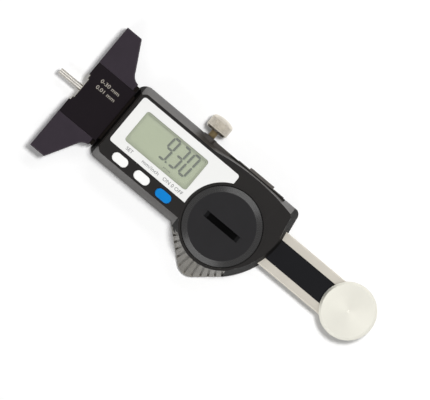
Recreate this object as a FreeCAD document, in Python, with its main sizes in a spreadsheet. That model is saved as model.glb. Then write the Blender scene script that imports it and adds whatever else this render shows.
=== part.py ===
import FreeCAD, Part
import math
import os
import re
import Sketcher
from FreeCAD import Placement, Rotation, Vector

# A digital depth caliper, in millimetres.
# The origin lies on the axis of the measuring pin, in the plane of the measuring faces.
# +X runs back along the beam to the thumb knob, +Y towards the clamping screw, +Z out of the display.

SIZES = {
    # Beam and what it carries
    "beam_width": "16",
    "beam_thickness": "3.5",
    "beam_length": "97.5",
    "beam_nose": "40",
    "beam_edge": "0.4",
    "strip_width": "9.25",
    "strip_setback": "11",
    "strip_tail": "13",
    "strip_depth": "1.0",
    "scale_board_thickness": "0.75",
    "scale_film_thickness": "0.2",
    "pin_diameter": "2.4",
    "pin_reading": "9.3",
    "pin_grip": "9",
    "pin_edge": "0.15",
    "pin_fit": "0.02",
    "pin_screw_diameter": "1.9",
    "pin_screw_length": "4",
    "pin_screw_setback": "4.5",
    "measuring_range": "30",
    "stop_diameter": "3",
    "stop_setback": "30",
    "stop_reach": "1.1",
    "knob_diameter": "22",
    "knob_setback": "6.4",
    "knob_below": "3",
    "knob_above": "4.5",
    "knob_edge": "1",
    "knob_low_edge": "0.6",
    "knob_dimple": "0.5",
    "knob_screw_diameter": "2.9",
    "knob_screw_head": "5.4",
    "knob_screw_reach": "3.3",
    # How far a cut runs past the surface, and shares of small features
    "overrun": "1",
    "countersink": "45",
    "socket_share": "0.7",
    "socket_depth": "0.3",
    "leaf_foot": "0.6",
    "leaf_top": "0.3",
    "leaf_bend": "0.05",
    "dome_taper": "20",
    # Clearances
    "slide_gap": "0.1",
    "side_gap": "0.05",
    "round_gap": "0.05",
    "sensor_gap": "0.2",
    "seat_gap": "0.05",
    "beam_room": "0.3",
    "key_room": "0.2",
    # Bridge and its cover plate
    "bridge_span": "57",
    "bridge_depth": "16.6",
    "bridge_top": "3.85",
    "bridge_edge": "0.3",
    "wing_width": "6.7",
    "shoulder_back": "12.8",
    "shoulder_half": "17.6",
    "shoulder_round": "4.6",
    "neck_half": "14.6",
    "notch_half": "5.7",
    "notch_depth": "0.6",
    "pin_notch_half": "4.2",
    "pin_notch_depth": "1.15",
    "plate_half": "11.7",
    "plate_thickness": "2",
    "plate_setback": "0.15",
    "bridge_screw_diameter": "2.4",
    "bridge_screw_head": "4.6",
    "bridge_screw_x": "11.5",
    "bridge_screw_y": "6",
    "bridge_screw_top": "3.3",
    # Slide frame, back plate and gib
    "tongue_front": "6.5",
    "tongue_half": "9",
    "waist_start": "17.2",
    "waist_half": "10.2",
    "flange_inset": "0.6",
    "rail_start": "25",
    "rail_thickness": "3.2",
    "rail_inset": "4.35",
    "frame_end": "88.8",
    "gib_thickness": "1.2",
    "gib_start": "26",
    "gib_length": "60",
    "gib_screw_diameter": "1.9",
    "gib_screw_first": "40",
    "gib_screw_pitch": "22",
    "back_plate_thickness": "1.3",
    "plate_screw_diameter": "1.5",
    "plate_screw_head": "2.7",
    "plate_screw_margin": "1.8",
    "plate_screw_first": "28",
    "plate_screw_pitch": "28.5",
    "plate_screw_length": "2.6",
    # Housing
    "rear_cover_thickness": "1.7",
    "rear_cover_edge": "0.5",
    "shell_height": "12.5",
    "shell_front": "17.9",
    "shell_end": "96.3",
    "shell_wall": "1.5",
    "shell_ceiling": "1.5",
    "side_draft": "2.85",
    "front_draft": "2.4",
    "end_draft": "1.9",
    "front_corner": "3.3",
    "front_corner_round": "4.5",
    "top_corner_round": "3",
    "bulge_start": "55",
    "bulge_round": "90",
    "rear_corner_length": "4",
    "rear_corner_drop": "2.85",
    "rear_corner_round": "2.8",
    "rear_lean": "1.9",
    "end_round_top": "3",
    "end_round": "32",
    "flank_slope": "0.857",
    "flank_reach": "18.73",
    "flank_end": "12.6",
    "apex_round": "5.6",
    "rib_count": "11",
    "rib_pitch": "8",
    "rib_width": "0.8",
    "rib_depth": "0.85",
    "rib_drop": "0.4",
    "boss_diameter": "3.8",
    "boss_height": "5.6",
    "case_screw_diameter": "1.9",
    "case_screw_head": "3.7",
    "case_screw_length": "5.6",
    "front_boss_x": "21.6",
    "front_boss_margin": "2.4",
    "rear_boss_x": "91.2",
    "rear_boss_margin": "4.45",
    "apex_boss_reach": "17.2",
    # Battery place
    "battery_x": "74.7",
    "battery_y": "-6",
    "cell_diameter": "20",
    "cell_thickness": "3.2",
    "cell_lift": "0.8",
    "cell_step": "0.3",
    "cell_room": "0.2",
    "collar_radius": "16.45",
    "collar_bottom": "4.4",
    "collar_rise": "0.2",
    "cover_radius": "15.25",
    "cover_room": "0.3",
    "cover_face_radius": "12.9",
    "cover_bevel": "0.9",
    "cover_flange": "1.9",
    "cover_ledge": "1.35",
    "neck_radius": "12.8",
    "neck_length": "2.7",
    "neck_wall": "1.8",
    "thread_gap": "0.1",
    "thread_bottom": "5.2",
    "seal_thickness": "0.8",
    "coin_slot_length": "16.8",
    "coin_slot_width": "2.6",
    "coin_slot_depth": "1.2",
    # Display, panel and buttons
    "panel_front": "21.5",
    "panel_end": "67.8",
    "panel_margin": "1.2",
    "key_row": "5.9",
    "panel_corner": "1.2",
    "panel_thickness": "0.7",
    "panel_sink": "0.65",
    "panel_gap": "0.1",
    "window_front": "25.9",
    "window_end": "55.6",
    "window_margin_high": "3.3",
    "window_margin_low": "3.6",
    "window_thickness": "0.6",
    "window_lip": "0.6",
    "lcd_margin": "1.3",
    "lcd_thickness": "1.6",
    "holder_wall": "0.9",
    "strip_block_width": "1.2",
    "button_length": "6.9",
    "button_width": "3.65",
    "button_first": "29.6",
    "button_pitch": "10.45",
    "button_margin": "2.7",
    "button_rise": "0.6",
    "button_edge": "0.4",
    "button_travel": "0.3",
    "button_flange": "8.3",
    "button_flange_width": "2",
    "button_flange_thickness": "0.8",
    "button_stem_diameter": "2",
    "dome_diameter": "2.2",
    "dome_height": "0.6",
    # Boards and contacts
    "board_thickness": "1",
    "board_start": "23.8",
    "board_end": "88.5",
    "board_screw_x": "65",
    "board_screw_pitch": "21",
    "board_screw_margin": "1.6",
    "board_screw_diameter": "1.5",
    "board_screw_head": "2.8",
    "board_screw_head_height": "1",
    "board_screw_depth": "1.6",
    "chip_x": "60",
    "chip_y": "2.5",
    "chip_size": "5",
    "chip_height": "1",
    "contact_thickness": "0.2",
    "contact_width": "3",
    "contact_length": "9",
    "positive_height": "3.2",
    "positive_foot": "1.8",
    # Data port and its sliding cover
    "port_cover_start": "63.8",
    "port_cover_length": "21.7",
    "port_cover_height": "3.3",
    "port_cover_low": "-1.45",
    "port_cover_proud": "0.3",
    "port_cover_neck": "1.2",
    "port_flange_thickness": "0.7",
    "port_flange_lip": "0.6",
    "port_grip_length": "11.4",
    "port_grip_height": "2.4",
    "port_grip_rise": "0.8",
    "port_travel": "10.6",
    "port_block_depth": "3.45",
    "port_block_top": "3",
    "port_block_end": "0.8",
    "contacts_length": "8.6",
    "contacts_height": "2.4",
    "contacts_reach": "2.1",
    "contacts_tab": "0.7",
    # Clamping screw
    "lock_x": "50",
    "lock_shaft_diameter": "2.9",
    "lock_pad_length": "0.8",
    "lock_pad_gap": "0.15",
    "lock_head_diameter": "9.4",
    "lock_head_length": "6.1",
    "lock_head_reach": "2.75",
    "lock_head_edge": "0.7",
    "lock_dome": "0.8",
    "lock_collar_diameter": "6",
    "lock_collar_rise": "0.25",
    "lock_hole_diameter": "3.6",
}

# Places and sizes that follow from the driving ones.
PLACES = {
    "beam_half": "beam_width / 2",
    "beam_face": "beam_thickness / 2",
    "beam_end": "beam_nose + beam_length",
    "knob_x": "beam_end - knob_setback",
    "strip_start": "beam_nose + strip_setback",
    "strip_length": "beam_length - strip_setback - strip_tail",
    "strip_floor": "beam_face - strip_depth",
    "reach_out": "measuring_range - pin_reading",
    "stop_x": "beam_nose + stop_setback",
    "frame_top": "beam_face + sensor_gap",
    "frame_bottom": "-beam_face - slide_gap",
    "cover_seat": "frame_bottom - back_plate_thickness",
    "ground": "cover_seat - rear_cover_thickness",
    "channel_start": "beam_nose - reach_out - slide_gap",
    "gib_inner": "beam_half + side_gap",
    "gib_outer": "gib_inner + gib_thickness",
    "gib_wall": "gib_outer + side_gap",
    "frame_half": "gib_wall + rail_thickness",
    "shell_half": "frame_half + rail_inset",
    "shell_top": "cover_seat + shell_height",
    "ceiling_low": "shell_top - shell_ceiling",
    "panel_floor": "shell_top - panel_sink",
    "top_half": "shell_half - side_draft",
    "plate_screw_y": "frame_half - plate_screw_margin",
    "board_screw_y": "frame_half - board_screw_margin",
    "front_boss_y": "neck_half - front_boss_margin",
    "flange_half": "neck_half - flange_inset",
    "flange_start": "bridge_depth + side_gap",
    "flange_end": "shell_front - side_gap",
    "rear_boss_y": "shell_half - rear_boss_margin",
    "panel_high": "top_half - panel_margin",
    "panel_low": "key_row - top_half",
    "window_high": "panel_high - window_margin_high",
    "window_low": "panel_low + window_margin_low",
    "button_y": "button_margin - top_half",
    "port_block_inner": "shell_half - port_block_depth",
    "lock_head_start": "shell_half + lock_head_reach",
    "flank_length": "sqrt(1 + flank_slope ^ 2)",
    "flank_drop": "flank_reach * flank_length",
    "apex_half": "apex_round * flank_slope / flank_length",
    "collar_share": "collar_radius / flank_drop",
    "cover_bottom": "shell_top - cover_ledge + seat_gap * 2",
    "cover_top": "cover_bottom + cover_flange",
    "seal_radius": "neck_radius + seal_thickness / 2 + thread_gap",
    "board_top": "frame_top + board_thickness",
    "cell_bottom": "board_top + cell_lift",
    "cell_top": "cell_bottom + cell_thickness",
    "contact_place": "battery_y + cell_diameter / 2 + thread_gap",
    "lcd_top": "ceiling_low - seat_gap",
    "lcd_bottom": "lcd_top - lcd_thickness",
    "glass_front": "window_front - lcd_margin + window_lip / 3",
    "glass_end": "window_end + lcd_margin",
    "glass_low": "window_low - lcd_margin - window_lip",
    "glass_high": "window_high + lcd_margin + window_lip",
    "button_top": "shell_top + button_rise",
    "port_slot_start": "port_cover_start - port_travel - side_gap * 2",
    "port_slot_end": "port_cover_start + port_cover_length + side_gap * 2",
    "port_face": "shell_half",
    "port_neck_floor": "port_face - port_cover_neck",
    "port_flange_floor": "port_neck_floor - port_flange_thickness - side_gap",
    "port_middle": "port_cover_low + port_cover_height / 2",
    "contacts_start": "port_slot_end - port_travel",
    "pad_inner": "gib_outer + lock_pad_gap",
    "pad_outer": "pad_inner + lock_pad_length",
}

TOUCH = 1e-4
FULL_TURN = 360
UPRIGHT = Vector(0, 0, 1)

document = FreeCAD.newDocument("DepthCaliper")
sheet = document.addObject("Spreadsheet::Sheet", "Dimensions")
pieces = []


def fill_sheet():
    """Write the driving dimensions into the sheet, each with its own name beside it."""
    for row, (name, size) in enumerate(SIZES.items(), start=1):
        sheet.set(f"A{row}", name)
        sheet.set(f"B{row}", size)
        sheet.setAlias(f"B{row}", name)
    document.recompute()


def bound(text):
    """Write an expression with the sheet's cells in place of the plain names."""

    def cell(match):
        word = match.group(0)
        if word in PLACES:
            return "(" + bound(PLACES[word]) + ")"
        return "Dimensions." + word if word in SIZES else word

    return re.sub(r"[a-z][a-z_]*", cell, str(text))


def value(text):
    """Work an expression out as a number."""
    return float(sheet.evalExpression(bound(text)))


def minus(text):
    """The same place on the other side."""
    return f"-({text})"


def new_body(label, x="0", y="0", z="0"):
    """Start a piece, placed in the caliper's frame."""
    body = document.addObject("PartDesign::Body", label)
    body.Label = label
    for axis, place in zip("xyz", (x, y, z)):
        body.setExpression(f"Placement.Base.{axis}", bound(place))
    pieces.append(body)
    return body


def new_sketch(body, plane="XY", level="0", x="0", y="0"):
    """Start a sketch on one of the body's own planes, moved along the plane's axis."""
    sketch = body.newObject("Sketcher::SketchObject", f"{body.Label}_sketch")
    role = f"{plane}_Plane"
    support = next(item for item in body.Origin.OriginFeatures if item.Role == role)
    sketch.AttachmentSupport = (support, [""])
    sketch.MapMode = "FlatFace"
    height = minus(level) if plane == "XZ" else level
    for axis, place in zip("xyz", (x, y, height)):
        sketch.setExpression(f"AttachmentOffset.Base.{axis}", bound(place))
    return sketch


def arc_centre(start, end, radius):
    """Centre of an arc that leaves the straight line by its radius: plus bulges right, minus left."""
    across = end - start
    half = across.Length / 2
    side = Vector(-across.y, across.x, 0).normalize()
    depth = math.sqrt(max(radius * radius - half * half, 0))
    return (start + end) / 2 + side * math.copysign(depth, radius)


def add_outline(sketch, corners):
    """Close an outline. A corner is (x, y), or (x, y, radius) where an arc leaves it."""
    spots = [Vector(value(corner[0]), value(corner[1]), 0) for corner in corners]
    ends = []
    for index, corner in enumerate(corners):
        start = spots[index]
        end = spots[(index + 1) % len(spots)]
        if len(corner) == 2:
            edge = sketch.addGeometry(Part.LineSegment(start, end))
            ends.append((edge, 1, 2))
            continue
        radius = value(corner[2])
        centre = arc_centre(start, end, radius)
        first, last = (start, end) if radius > 0 else (end, start)
        from_angle = math.atan2(first.y - centre.y, first.x - centre.x)
        to_angle = math.atan2(last.y - centre.y, last.x - centre.x)
        circle = Part.Circle(centre, UPRIGHT, abs(radius))
        edge = sketch.addGeometry(Part.ArcOfCircle(circle, from_angle, to_angle))
        ends.append((edge, 1, 2) if radius > 0 else (edge, 2, 1))
        name = sketch.addConstraint(Sketcher.Constraint("Radius", edge, abs(radius)))
        size = corner[2] if radius > 0 else minus(corner[2])
        sketch.setExpression(f"Constraints[{name}]", bound(size))
    for index, (edge, first, last) in enumerate(ends):
        follower, start, _ = ends[(index + 1) % len(ends)]
        sketch.addConstraint(Sketcher.Constraint("Coincident", edge, last, follower, start))
    for (edge, first, _), corner, spot in zip(ends, corners, spots):
        for kind, place, number in (("DistanceX", corner[0], spot.x), ("DistanceY", corner[1], spot.y)):
            name = sketch.addConstraint(Sketcher.Constraint(kind, edge, first, number))
            sketch.setExpression(f"Constraints[{name}]", bound(place))


def add_pill(sketch, spot):
    """Draw a slot with half-round ends about its middle."""
    x, y, length, width = spot
    radius = value(width) / 2
    reach = (value(length) - value(width)) / 2
    right = Vector(value(x) + reach, value(y), 0)
    left = Vector(value(x) - reach, value(y), 0)
    rise = Vector(0, radius, 0)
    quarter = math.pi / 2
    last = sketch.addGeometry(Part.ArcOfCircle(Part.Circle(right, UPRIGHT, radius), -quarter, quarter))
    high = sketch.addGeometry(Part.LineSegment(right + rise, left + rise))
    first = sketch.addGeometry(Part.ArcOfCircle(Part.Circle(left, UPRIGHT, radius), quarter, 3 * quarter))
    low = sketch.addGeometry(Part.LineSegment(left - rise, right - rise))
    for edge, follower in ((last, high), (high, first), (first, low), (low, last)):
        sketch.addConstraint(Sketcher.Constraint("Tangent", edge, 2, follower, 1))
    straight = f"(({length}) - ({width})) / 2"
    for edge, place, spot_x in ((last, f"{x} + {straight}", right.x), (first, f"{x} - {straight}", left.x)):
        name = sketch.addConstraint(Sketcher.Constraint("DistanceX", edge, 3, spot_x))
        sketch.setExpression(f"Constraints[{name}]", bound(place))
        name = sketch.addConstraint(Sketcher.Constraint("DistanceY", edge, 3, value(y)))
        sketch.setExpression(f"Constraints[{name}]", bound(y))
        name = sketch.addConstraint(Sketcher.Constraint("Radius", edge, radius))
        sketch.setExpression(f"Constraints[{name}]", bound(f"({width}) / 2"))


def add_circle(sketch, x, y, diameter):
    """Draw a circle whose centre and diameter follow the sheet."""
    centre = Vector(value(x), value(y), 0)
    radius = value(diameter) / 2
    edge = sketch.addGeometry(Part.Circle(centre, UPRIGHT, radius))
    for kind, place, number in (("DistanceX", x, centre.x), ("DistanceY", y, centre.y)):
        name = sketch.addConstraint(Sketcher.Constraint(kind, edge, 3, number))
        sketch.setExpression(f"Constraints[{name}]", bound(place))
    name = sketch.addConstraint(Sketcher.Constraint("Diameter", edge, radius * 2))
    sketch.setExpression(f"Constraints[{name}]", bound(diameter))


def drawn(body, shapes, plane="XY", level="0", x="0", y="0"):
    """Sketch outlines (corner lists), circles (x, y, diameter) and pills (x, y, length, width)."""
    sketch = new_sketch(body, plane, level, x, y)
    for shape in shapes:
        if isinstance(shape, tuple) and len(shape) == 4:
            add_pill(sketch, shape)
        elif isinstance(shape, tuple):
            add_circle(sketch, *shape)
        else:
            add_outline(sketch, shape)
    return sketch


def feature(body, kind, sketch, length, back=False, both=False, taper="0"):
    """Run a sketch out as a Pad or a Pocket, and check that the volume went the right way."""
    document.recompute()
    before = body.Shape.Volume if not body.Shape.isNull() else 0
    item = body.newObject(f"PartDesign::{kind}", f"{body.Label}_{kind.lower()}")
    item.Profile = sketch
    item.SideType = "Symmetric" if both else "One side"
    item.Reversed = back
    item.setExpression("Length", bound(length))
    item.setExpression("TaperAngle", bound(taper))
    sketch.Visibility = False
    document.recompute()
    grown = body.Shape.Volume - before
    if (grown <= 0) if kind == "Pad" else (grown >= 0):
        raise RuntimeError(f"{item.Name} left {body.Label} as it was")
    return item


def pad(body, shapes, length, plane="XY", level="0", back=False, both=False, taper="0"):
    """Add material: up from a level (XY), towards -Y (XZ) or towards +X (YZ), or back from it."""
    return feature(body, "Pad", drawn(body, shapes, plane, level), length, back, both, taper)


def pocket(body, shapes, length, plane="XY", level="0", back=False, both=False, taper="0"):
    """Take material away: down from a level (XY), towards +Y (XZ) or towards -X (YZ)."""
    return feature(body, "Pocket", drawn(body, shapes, plane, level), length, back, both, taper)


def turned(body, corners, kind="Revolution", x="0", y="0"):
    """Turn a profile of (radius, height) corners about the upright axis through x, y."""
    sketch = drawn(body, [corners], "XZ", y, x)
    item = body.newObject(f"PartDesign::{kind}", f"{body.Label}_{kind.lower()}")
    item.Profile = sketch
    item.ReferenceAxis = (sketch, ["V_Axis"])
    item.Angle = FULL_TURN
    sketch.Visibility = False
    document.recompute()
    return item


def edges_where(body, test):
    """Names of the edges of a body that pass a test."""
    edges = body.Tip.Shape.Edges
    return [f"Edge{number}" for number, edge in enumerate(edges, start=1) if test(edge)]


def dress(body, kind, size, test):
    """Chamfer or round the edges that pass a test."""
    base = body.Tip
    edges = edges_where(body, test)
    item = body.newObject(f"PartDesign::{kind}", f"{body.Label}_{kind.lower()}")
    item.Base = (base, edges)
    item.setExpression("Size" if kind == "Chamfer" else "Radius", bound(size))
    document.recompute()
    return item


def at_height(height):
    """Test for an edge that lies flat at one height of its body."""
    level = value(height)

    def test(edge):
        box = edge.BoundBox
        return abs(box.ZMin - level) < TOUCH and abs(box.ZMax - level) < TOUCH

    return test


def rectangle(left, low, right, high):
    """A plain rectangle's corners."""
    return [(left, low), (right, low), (right, high), (left, high)]


def soft_rectangle(left, low, right, high, radius):
    """A rectangle's corners, each rounded."""
    return [
        (f"{left} + {radius}", low),
        (f"{right} - {radius}", low, radius),
        (right, f"{low} + {radius}"),
        (right, f"{high} - {radius}", radius),
        (f"{right} - {radius}", high),
        (f"{left} + {radius}", high, radius),
        (left, f"{high} - {radius}"),
        (left, f"{low} + {radius}", radius),
    ]


# The bridge and what stands in it


def notch_front(setback):
    """Front edge of the bridge from +Y to -Y: it steps back twice, to clear the pin's root."""
    return [
        (setback, "notch_half"),
        ("notch_depth", "notch_half"),
        ("notch_depth", "pin_notch_half"),
        ("pin_notch_depth", "pin_notch_half"),
        ("pin_notch_depth", minus("pin_notch_half")),
        ("notch_depth", minus("pin_notch_half")),
        ("notch_depth", minus("notch_half")),
        (setback, minus("notch_half")),
    ]


def bridge_outline():
    """Wings, sloping shoulders and neck, anticlockwise from the low front tip."""
    tip = "bridge_span / 2"
    return [
        ("0", minus(tip)),
        ("wing_width", minus(tip)),
        ("shoulder_back", minus("shoulder_half"), minus("shoulder_round")),
        ("bridge_depth", minus("neck_half")),
        ("bridge_depth", "neck_half", minus("shoulder_round")),
        ("shoulder_back", "shoulder_half"),
        ("wing_width", tip),
        ("0", tip),
    ] + notch_front("0")


def bridge_screw_spots(diameter):
    """The two screws that clamp the frame's tongue."""
    return [("bridge_screw_x", y, diameter) for y in ("bridge_screw_y", minus("bridge_screw_y"))]


def make_bridge():
    """One milled bar: a slot for the frame's tongue under a wider seat for the cover plate."""
    body = new_body("bridge")
    pad(body, [bridge_outline()], "bridge_top - ground", level="ground")
    dress(body, "Chamfer", "bridge_edge", bridge_rim)
    seat = "plate_half + side_gap"
    seat_corners = rectangle("-overrun", minus(seat), "bridge_depth + overrun", seat)
    pocket(body, [seat_corners], "bridge_top - frame_top", level="bridge_top")
    slot = "tongue_half + side_gap"
    slot_corners = rectangle("tongue_front - seat_gap", minus(slot), "bridge_depth + overrun", slot)
    pocket(body, [slot_corners], "frame_top - frame_bottom", level="frame_top")
    pocket(body, [("0", "0", "pin_diameter + round_gap * 2")], "tongue_front", "YZ", "tongue_front")
    countersunk(body, bridge_screw_spots, "bridge_screw_diameter", "bridge_screw_head", "ground")
    return body


def bridge_rim(edge):
    """Top and bottom edges of the bridge behind its measuring faces."""
    box = edge.BoundBox
    flat = box.ZLength < TOUCH
    return flat and box.XMin > -TOUCH and box.XMax > value("wing_width") - TOUCH


def countersunk(body, spots, diameter, head, level):
    """Screw holes from below, each with a cone for the head."""
    gap = "round_gap * 2"
    depth = f"({head} - {diameter}) / 2"
    pocket(body, spots(f"{diameter} + {gap}"), "shell_height", level=level, back=True)
    pocket(body, spots(f"{head} + {gap}"), depth, level=level, back=True, taper="-countersink")


def screw_group(label, spots, diameter, head, level, length):
    """Countersunk screws that stand up from one level."""
    body = new_body(label)
    pad(body, spots(head), f"({head} - {diameter}) / 2", level=level, taper="-countersink")
    pad(body, spots(diameter), length, level=level)
    pocket(body, spots(f"{diameter} * socket_share"), f"{diameter} * socket_depth", level=level, back=True)
    return body


def make_bridge_cover():
    """Plate over the tongue, cut back round the pin like the bridge's own front."""
    body = new_body("bridge_cover")
    back = "shell_front - seat_gap"
    corners = [
        ("plate_setback", minus("plate_half")),
        (back, minus("plate_half")),
        (back, "plate_half"),
        ("plate_setback", "plate_half"),
    ]
    pad(body, [corners + notch_front("plate_setback")], "plate_thickness", level="frame_top")
    depth = "bridge_screw_top + round_gap - frame_top"
    spots = bridge_screw_spots("bridge_screw_diameter + round_gap * 2")
    pocket(body, spots, depth, level="frame_top", back=True)
    return body


# The frame that the beam runs in


def plate_screw_spots(diameter):
    """Three screws along each rail."""
    return [
        (f"plate_screw_first + plate_screw_pitch * {step}", y, diameter)
        for step in range(3)
        for y in ("plate_screw_y", minus("plate_screw_y"))
    ]


def board_screw_spots(diameter):
    """Two screws along each rail, behind the display."""
    return [
        (f"board_screw_x + board_screw_pitch * {step}", y, diameter)
        for step in range(2)
        for y in ("board_screw_y", minus("board_screw_y"))
    ]


def gib_screw_spots(diameter):
    """Two grub screws through the gib's rail, drawn in the XZ plane."""
    return [(f"gib_screw_first + gib_screw_pitch * {step}", "0", diameter) for step in range(2)]


def rail_corners(front):
    """Waist between the housing's front bosses, then the two rails."""
    return [
        (front, minus("waist_half")),
        ("rail_start", minus("waist_half")),
        ("rail_start", minus("frame_half")),
        ("frame_end", minus("frame_half")),
        ("frame_end", "frame_half"),
        ("rail_start", "frame_half"),
        ("rail_start", "waist_half"),
        (front, "waist_half"),
    ]


def make_slide_frame():
    """A fork: a tongue in front and two rails that guide the beam, one of them through a gib."""
    body = new_body("slide_frame")
    height = "frame_top - frame_bottom"
    pad(body, [rail_corners("waist_start")], height, level="frame_bottom")
    tongue = rectangle("tongue_front", minus("tongue_half"), "waist_start", "tongue_half")
    pad(body, [tongue], height, level="frame_bottom")
    flange = rectangle("flange_start", minus("flange_half"), "flange_end", "flange_half")
    pad(body, [flange], height, level="frame_bottom")
    channel = rectangle("channel_start", minus("gib_inner"), "frame_end + overrun", "gib_inner")
    pocket(body, [channel], height, level="frame_top")
    gib_bed = rectangle("gib_start - side_gap", "0", "frame_end + overrun", "gib_wall")
    pocket(body, [gib_bed], height, level="frame_top")
    hole = ("0", "0", "pin_diameter + round_gap * 2")
    pocket(body, [hole], "channel_start - tongue_front", "YZ", "channel_start")
    spots = bridge_screw_spots("bridge_screw_diameter + round_gap * 2")
    pocket(body, spots, "frame_top - frame_bottom", level="frame_top")
    depth = "plate_screw_length - back_plate_thickness + round_gap"
    spots = plate_screw_spots("plate_screw_diameter + round_gap * 2")
    pocket(body, spots, depth, level="frame_bottom", back=True)
    spots = board_screw_spots("board_screw_diameter + round_gap * 2")
    pocket(body, spots, "board_screw_depth + round_gap", level="frame_top")
    spots = gib_screw_spots("gib_screw_diameter + round_gap * 2")
    pocket(body, spots, "frame_half - gib_wall", "XZ", "gib_wall")
    lock_bore = ("lock_x", "0", "lock_shaft_diameter + round_gap * 2")
    pocket(body, [lock_bore], "frame_half - gib_wall", "XZ", "gib_wall")
    return body


def make_back_plate():
    """Closes the channel from below, with a slot that the stop pin runs in."""
    body = new_body("back_plate")
    front = "shell_front + seat_gap"
    pad(body, [rail_corners(front)], "back_plate_thickness", level="cover_seat")
    width = "stop_diameter + side_gap * 2"
    length = f"measuring_range + {width}"
    middle = "stop_x + pin_reading - measuring_range / 2"
    pocket(body, [(middle, "0", length, width)], "back_plate_thickness", level="frame_bottom")
    countersunk(body, plate_screw_spots, "plate_screw_diameter", "plate_screw_head", "cover_seat")
    return body


def make_gib():
    """Thin strip between the beam's edge and the rail, and the two screws that set it."""
    strip = new_body("gib_strip", "gib_start")
    side = rectangle("0", minus("beam_face"), "gib_length", "beam_face")
    pad(strip, [side], "gib_thickness", "XZ", "gib_outer")
    screws = new_body("gib_screws")
    pad(screws, gib_screw_spots("gib_screw_diameter"), "frame_half - gib_wall", "XZ", "frame_half")
    socket = gib_screw_spots("gib_screw_diameter / 2")
    pocket(screws, socket, "gib_screw_diameter / 2", "XZ", "frame_half", back=True)


# The beam


def make_beam():
    """Flat bar with a shallow bed for the scale, a bore in its nose and holes for its fittings."""
    body = new_body("beam", "beam_nose")
    outline = rectangle("0", minus("beam_half"), "beam_length", "beam_half")
    pad(body, [outline], "beam_thickness", level=minus("beam_face"))
    dress(body, "Chamfer", "beam_edge", long_corner)
    half = "strip_width / 2"
    bed = rectangle("strip_setback", minus(half), "strip_setback + strip_length", half)
    pocket(body, [bed], "strip_depth", level="beam_face")
    pocket(body, [("0", "0", "pin_diameter + pin_fit * 2")], "pin_grip", "YZ", back=True)
    hole = ("pin_screw_setback", "0", "pin_screw_diameter + round_gap * 2")
    pocket(body, [hole], "beam_half - pin_diameter / 2", "XZ", minus("beam_half"))
    hole = ("stop_setback", "0", "stop_diameter + pin_fit * 2")
    pocket(body, [hole], "beam_thickness - strip_depth - pin_fit", level=minus("beam_face"), back=True)
    hole = ("beam_length - knob_setback", "0", "knob_screw_diameter + round_gap * 2")
    pocket(body, [hole], "beam_thickness", level="beam_face")
    return body


def long_corner(edge):
    """Edges that run the whole length of the beam."""
    return edge.BoundBox.XLength > value("beam_length") - TOUCH


def make_scale():
    """The capacitive scale board in the beam's bed, and the black film over it."""
    half = "strip_width / 2 - side_gap"
    corners = rectangle("side_gap", minus(half), "strip_length - side_gap", half)
    board = new_body("scale_board", "strip_start", z="strip_floor")
    pad(board, [corners], "scale_board_thickness")
    film = new_body("scale_film", "strip_start", z="strip_floor + scale_board_thickness")
    pad(film, [corners], "scale_film_thickness")


def make_measuring_pin():
    """Ground pin with a flat end, pressed into the beam's nose."""
    body = new_body("measuring_pin", minus("pin_reading"))
    length = "pin_reading + beam_nose + pin_grip - pin_fit"
    pad(body, [("0", "0", "pin_diameter")], length, "YZ")
    dress(body, "Chamfer", "pin_edge", lambda edge: edge.BoundBox.XMax < TOUCH)
    screw = new_body("pin_set_screw", "beam_nose + pin_screw_setback")
    shank = ("0", "0", "pin_screw_diameter")
    face = minus("pin_diameter / 2 + pin_fit")
    pad(screw, [shank], "pin_screw_length", "XZ", face)
    socket = ("0", "0", "pin_screw_diameter / 2")
    end = f"{face} - pin_screw_length"
    pocket(screw, [socket], "pin_screw_diameter / 2", "XZ", end)


def make_travel_stop():
    """Pin under the beam that ends its travel both ways in the back plate's slot."""
    body = new_body("travel_stop", "stop_x", z=minus("beam_face + stop_reach"))
    length = "stop_reach + beam_thickness - strip_depth - pin_fit * 2"
    pad(body, [("0", "0", "stop_diameter")], length)


def make_knob():
    """Round turned knob with a slot that the end of the beam sits in, and the screw through both."""
    body = new_body("end_knob", "knob_x")
    radius = "knob_diameter / 2"
    low_edge = "knob_low_edge"
    profile = [
        ("0", minus("knob_below")),
        (f"{radius} - {low_edge}", minus("knob_below")),
        (radius, f"-knob_below + {low_edge}"),
        (radius, "knob_above - knob_edge"),
        (f"{radius} - knob_edge", "knob_above"),
        ("knob_dimple", "knob_above"),
        ("0", "knob_above - knob_dimple / 2"),
    ]
    turned(body, profile)
    slot = rectangle(minus(radius), "-beam_half - side_gap", "knob_setback + side_gap", "beam_half + side_gap")
    pocket(body, [slot], "beam_thickness + side_gap * 2", level="beam_face + side_gap")
    countersunk_depth = "(knob_screw_head - knob_screw_diameter) / 2"
    gap = "round_gap * 2"
    hole = ("0", "0", f"knob_screw_diameter + {gap}")
    length = "knob_screw_reach + knob_below + round_gap"
    pocket(body, [hole], length, level=minus("knob_below"), back=True)
    cone = ("0", "0", f"knob_screw_head + {gap}")
    level = minus("knob_below")
    pocket(body, [cone], countersunk_depth, level=level, back=True, taper="-countersink")
    screw_group(
        "knob_screw",
        lambda diameter: [("knob_x", "0", diameter)],
        "knob_screw_diameter",
        "knob_screw_head",
        level,
        "knob_below + knob_screw_reach",
    )


# The housing


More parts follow.
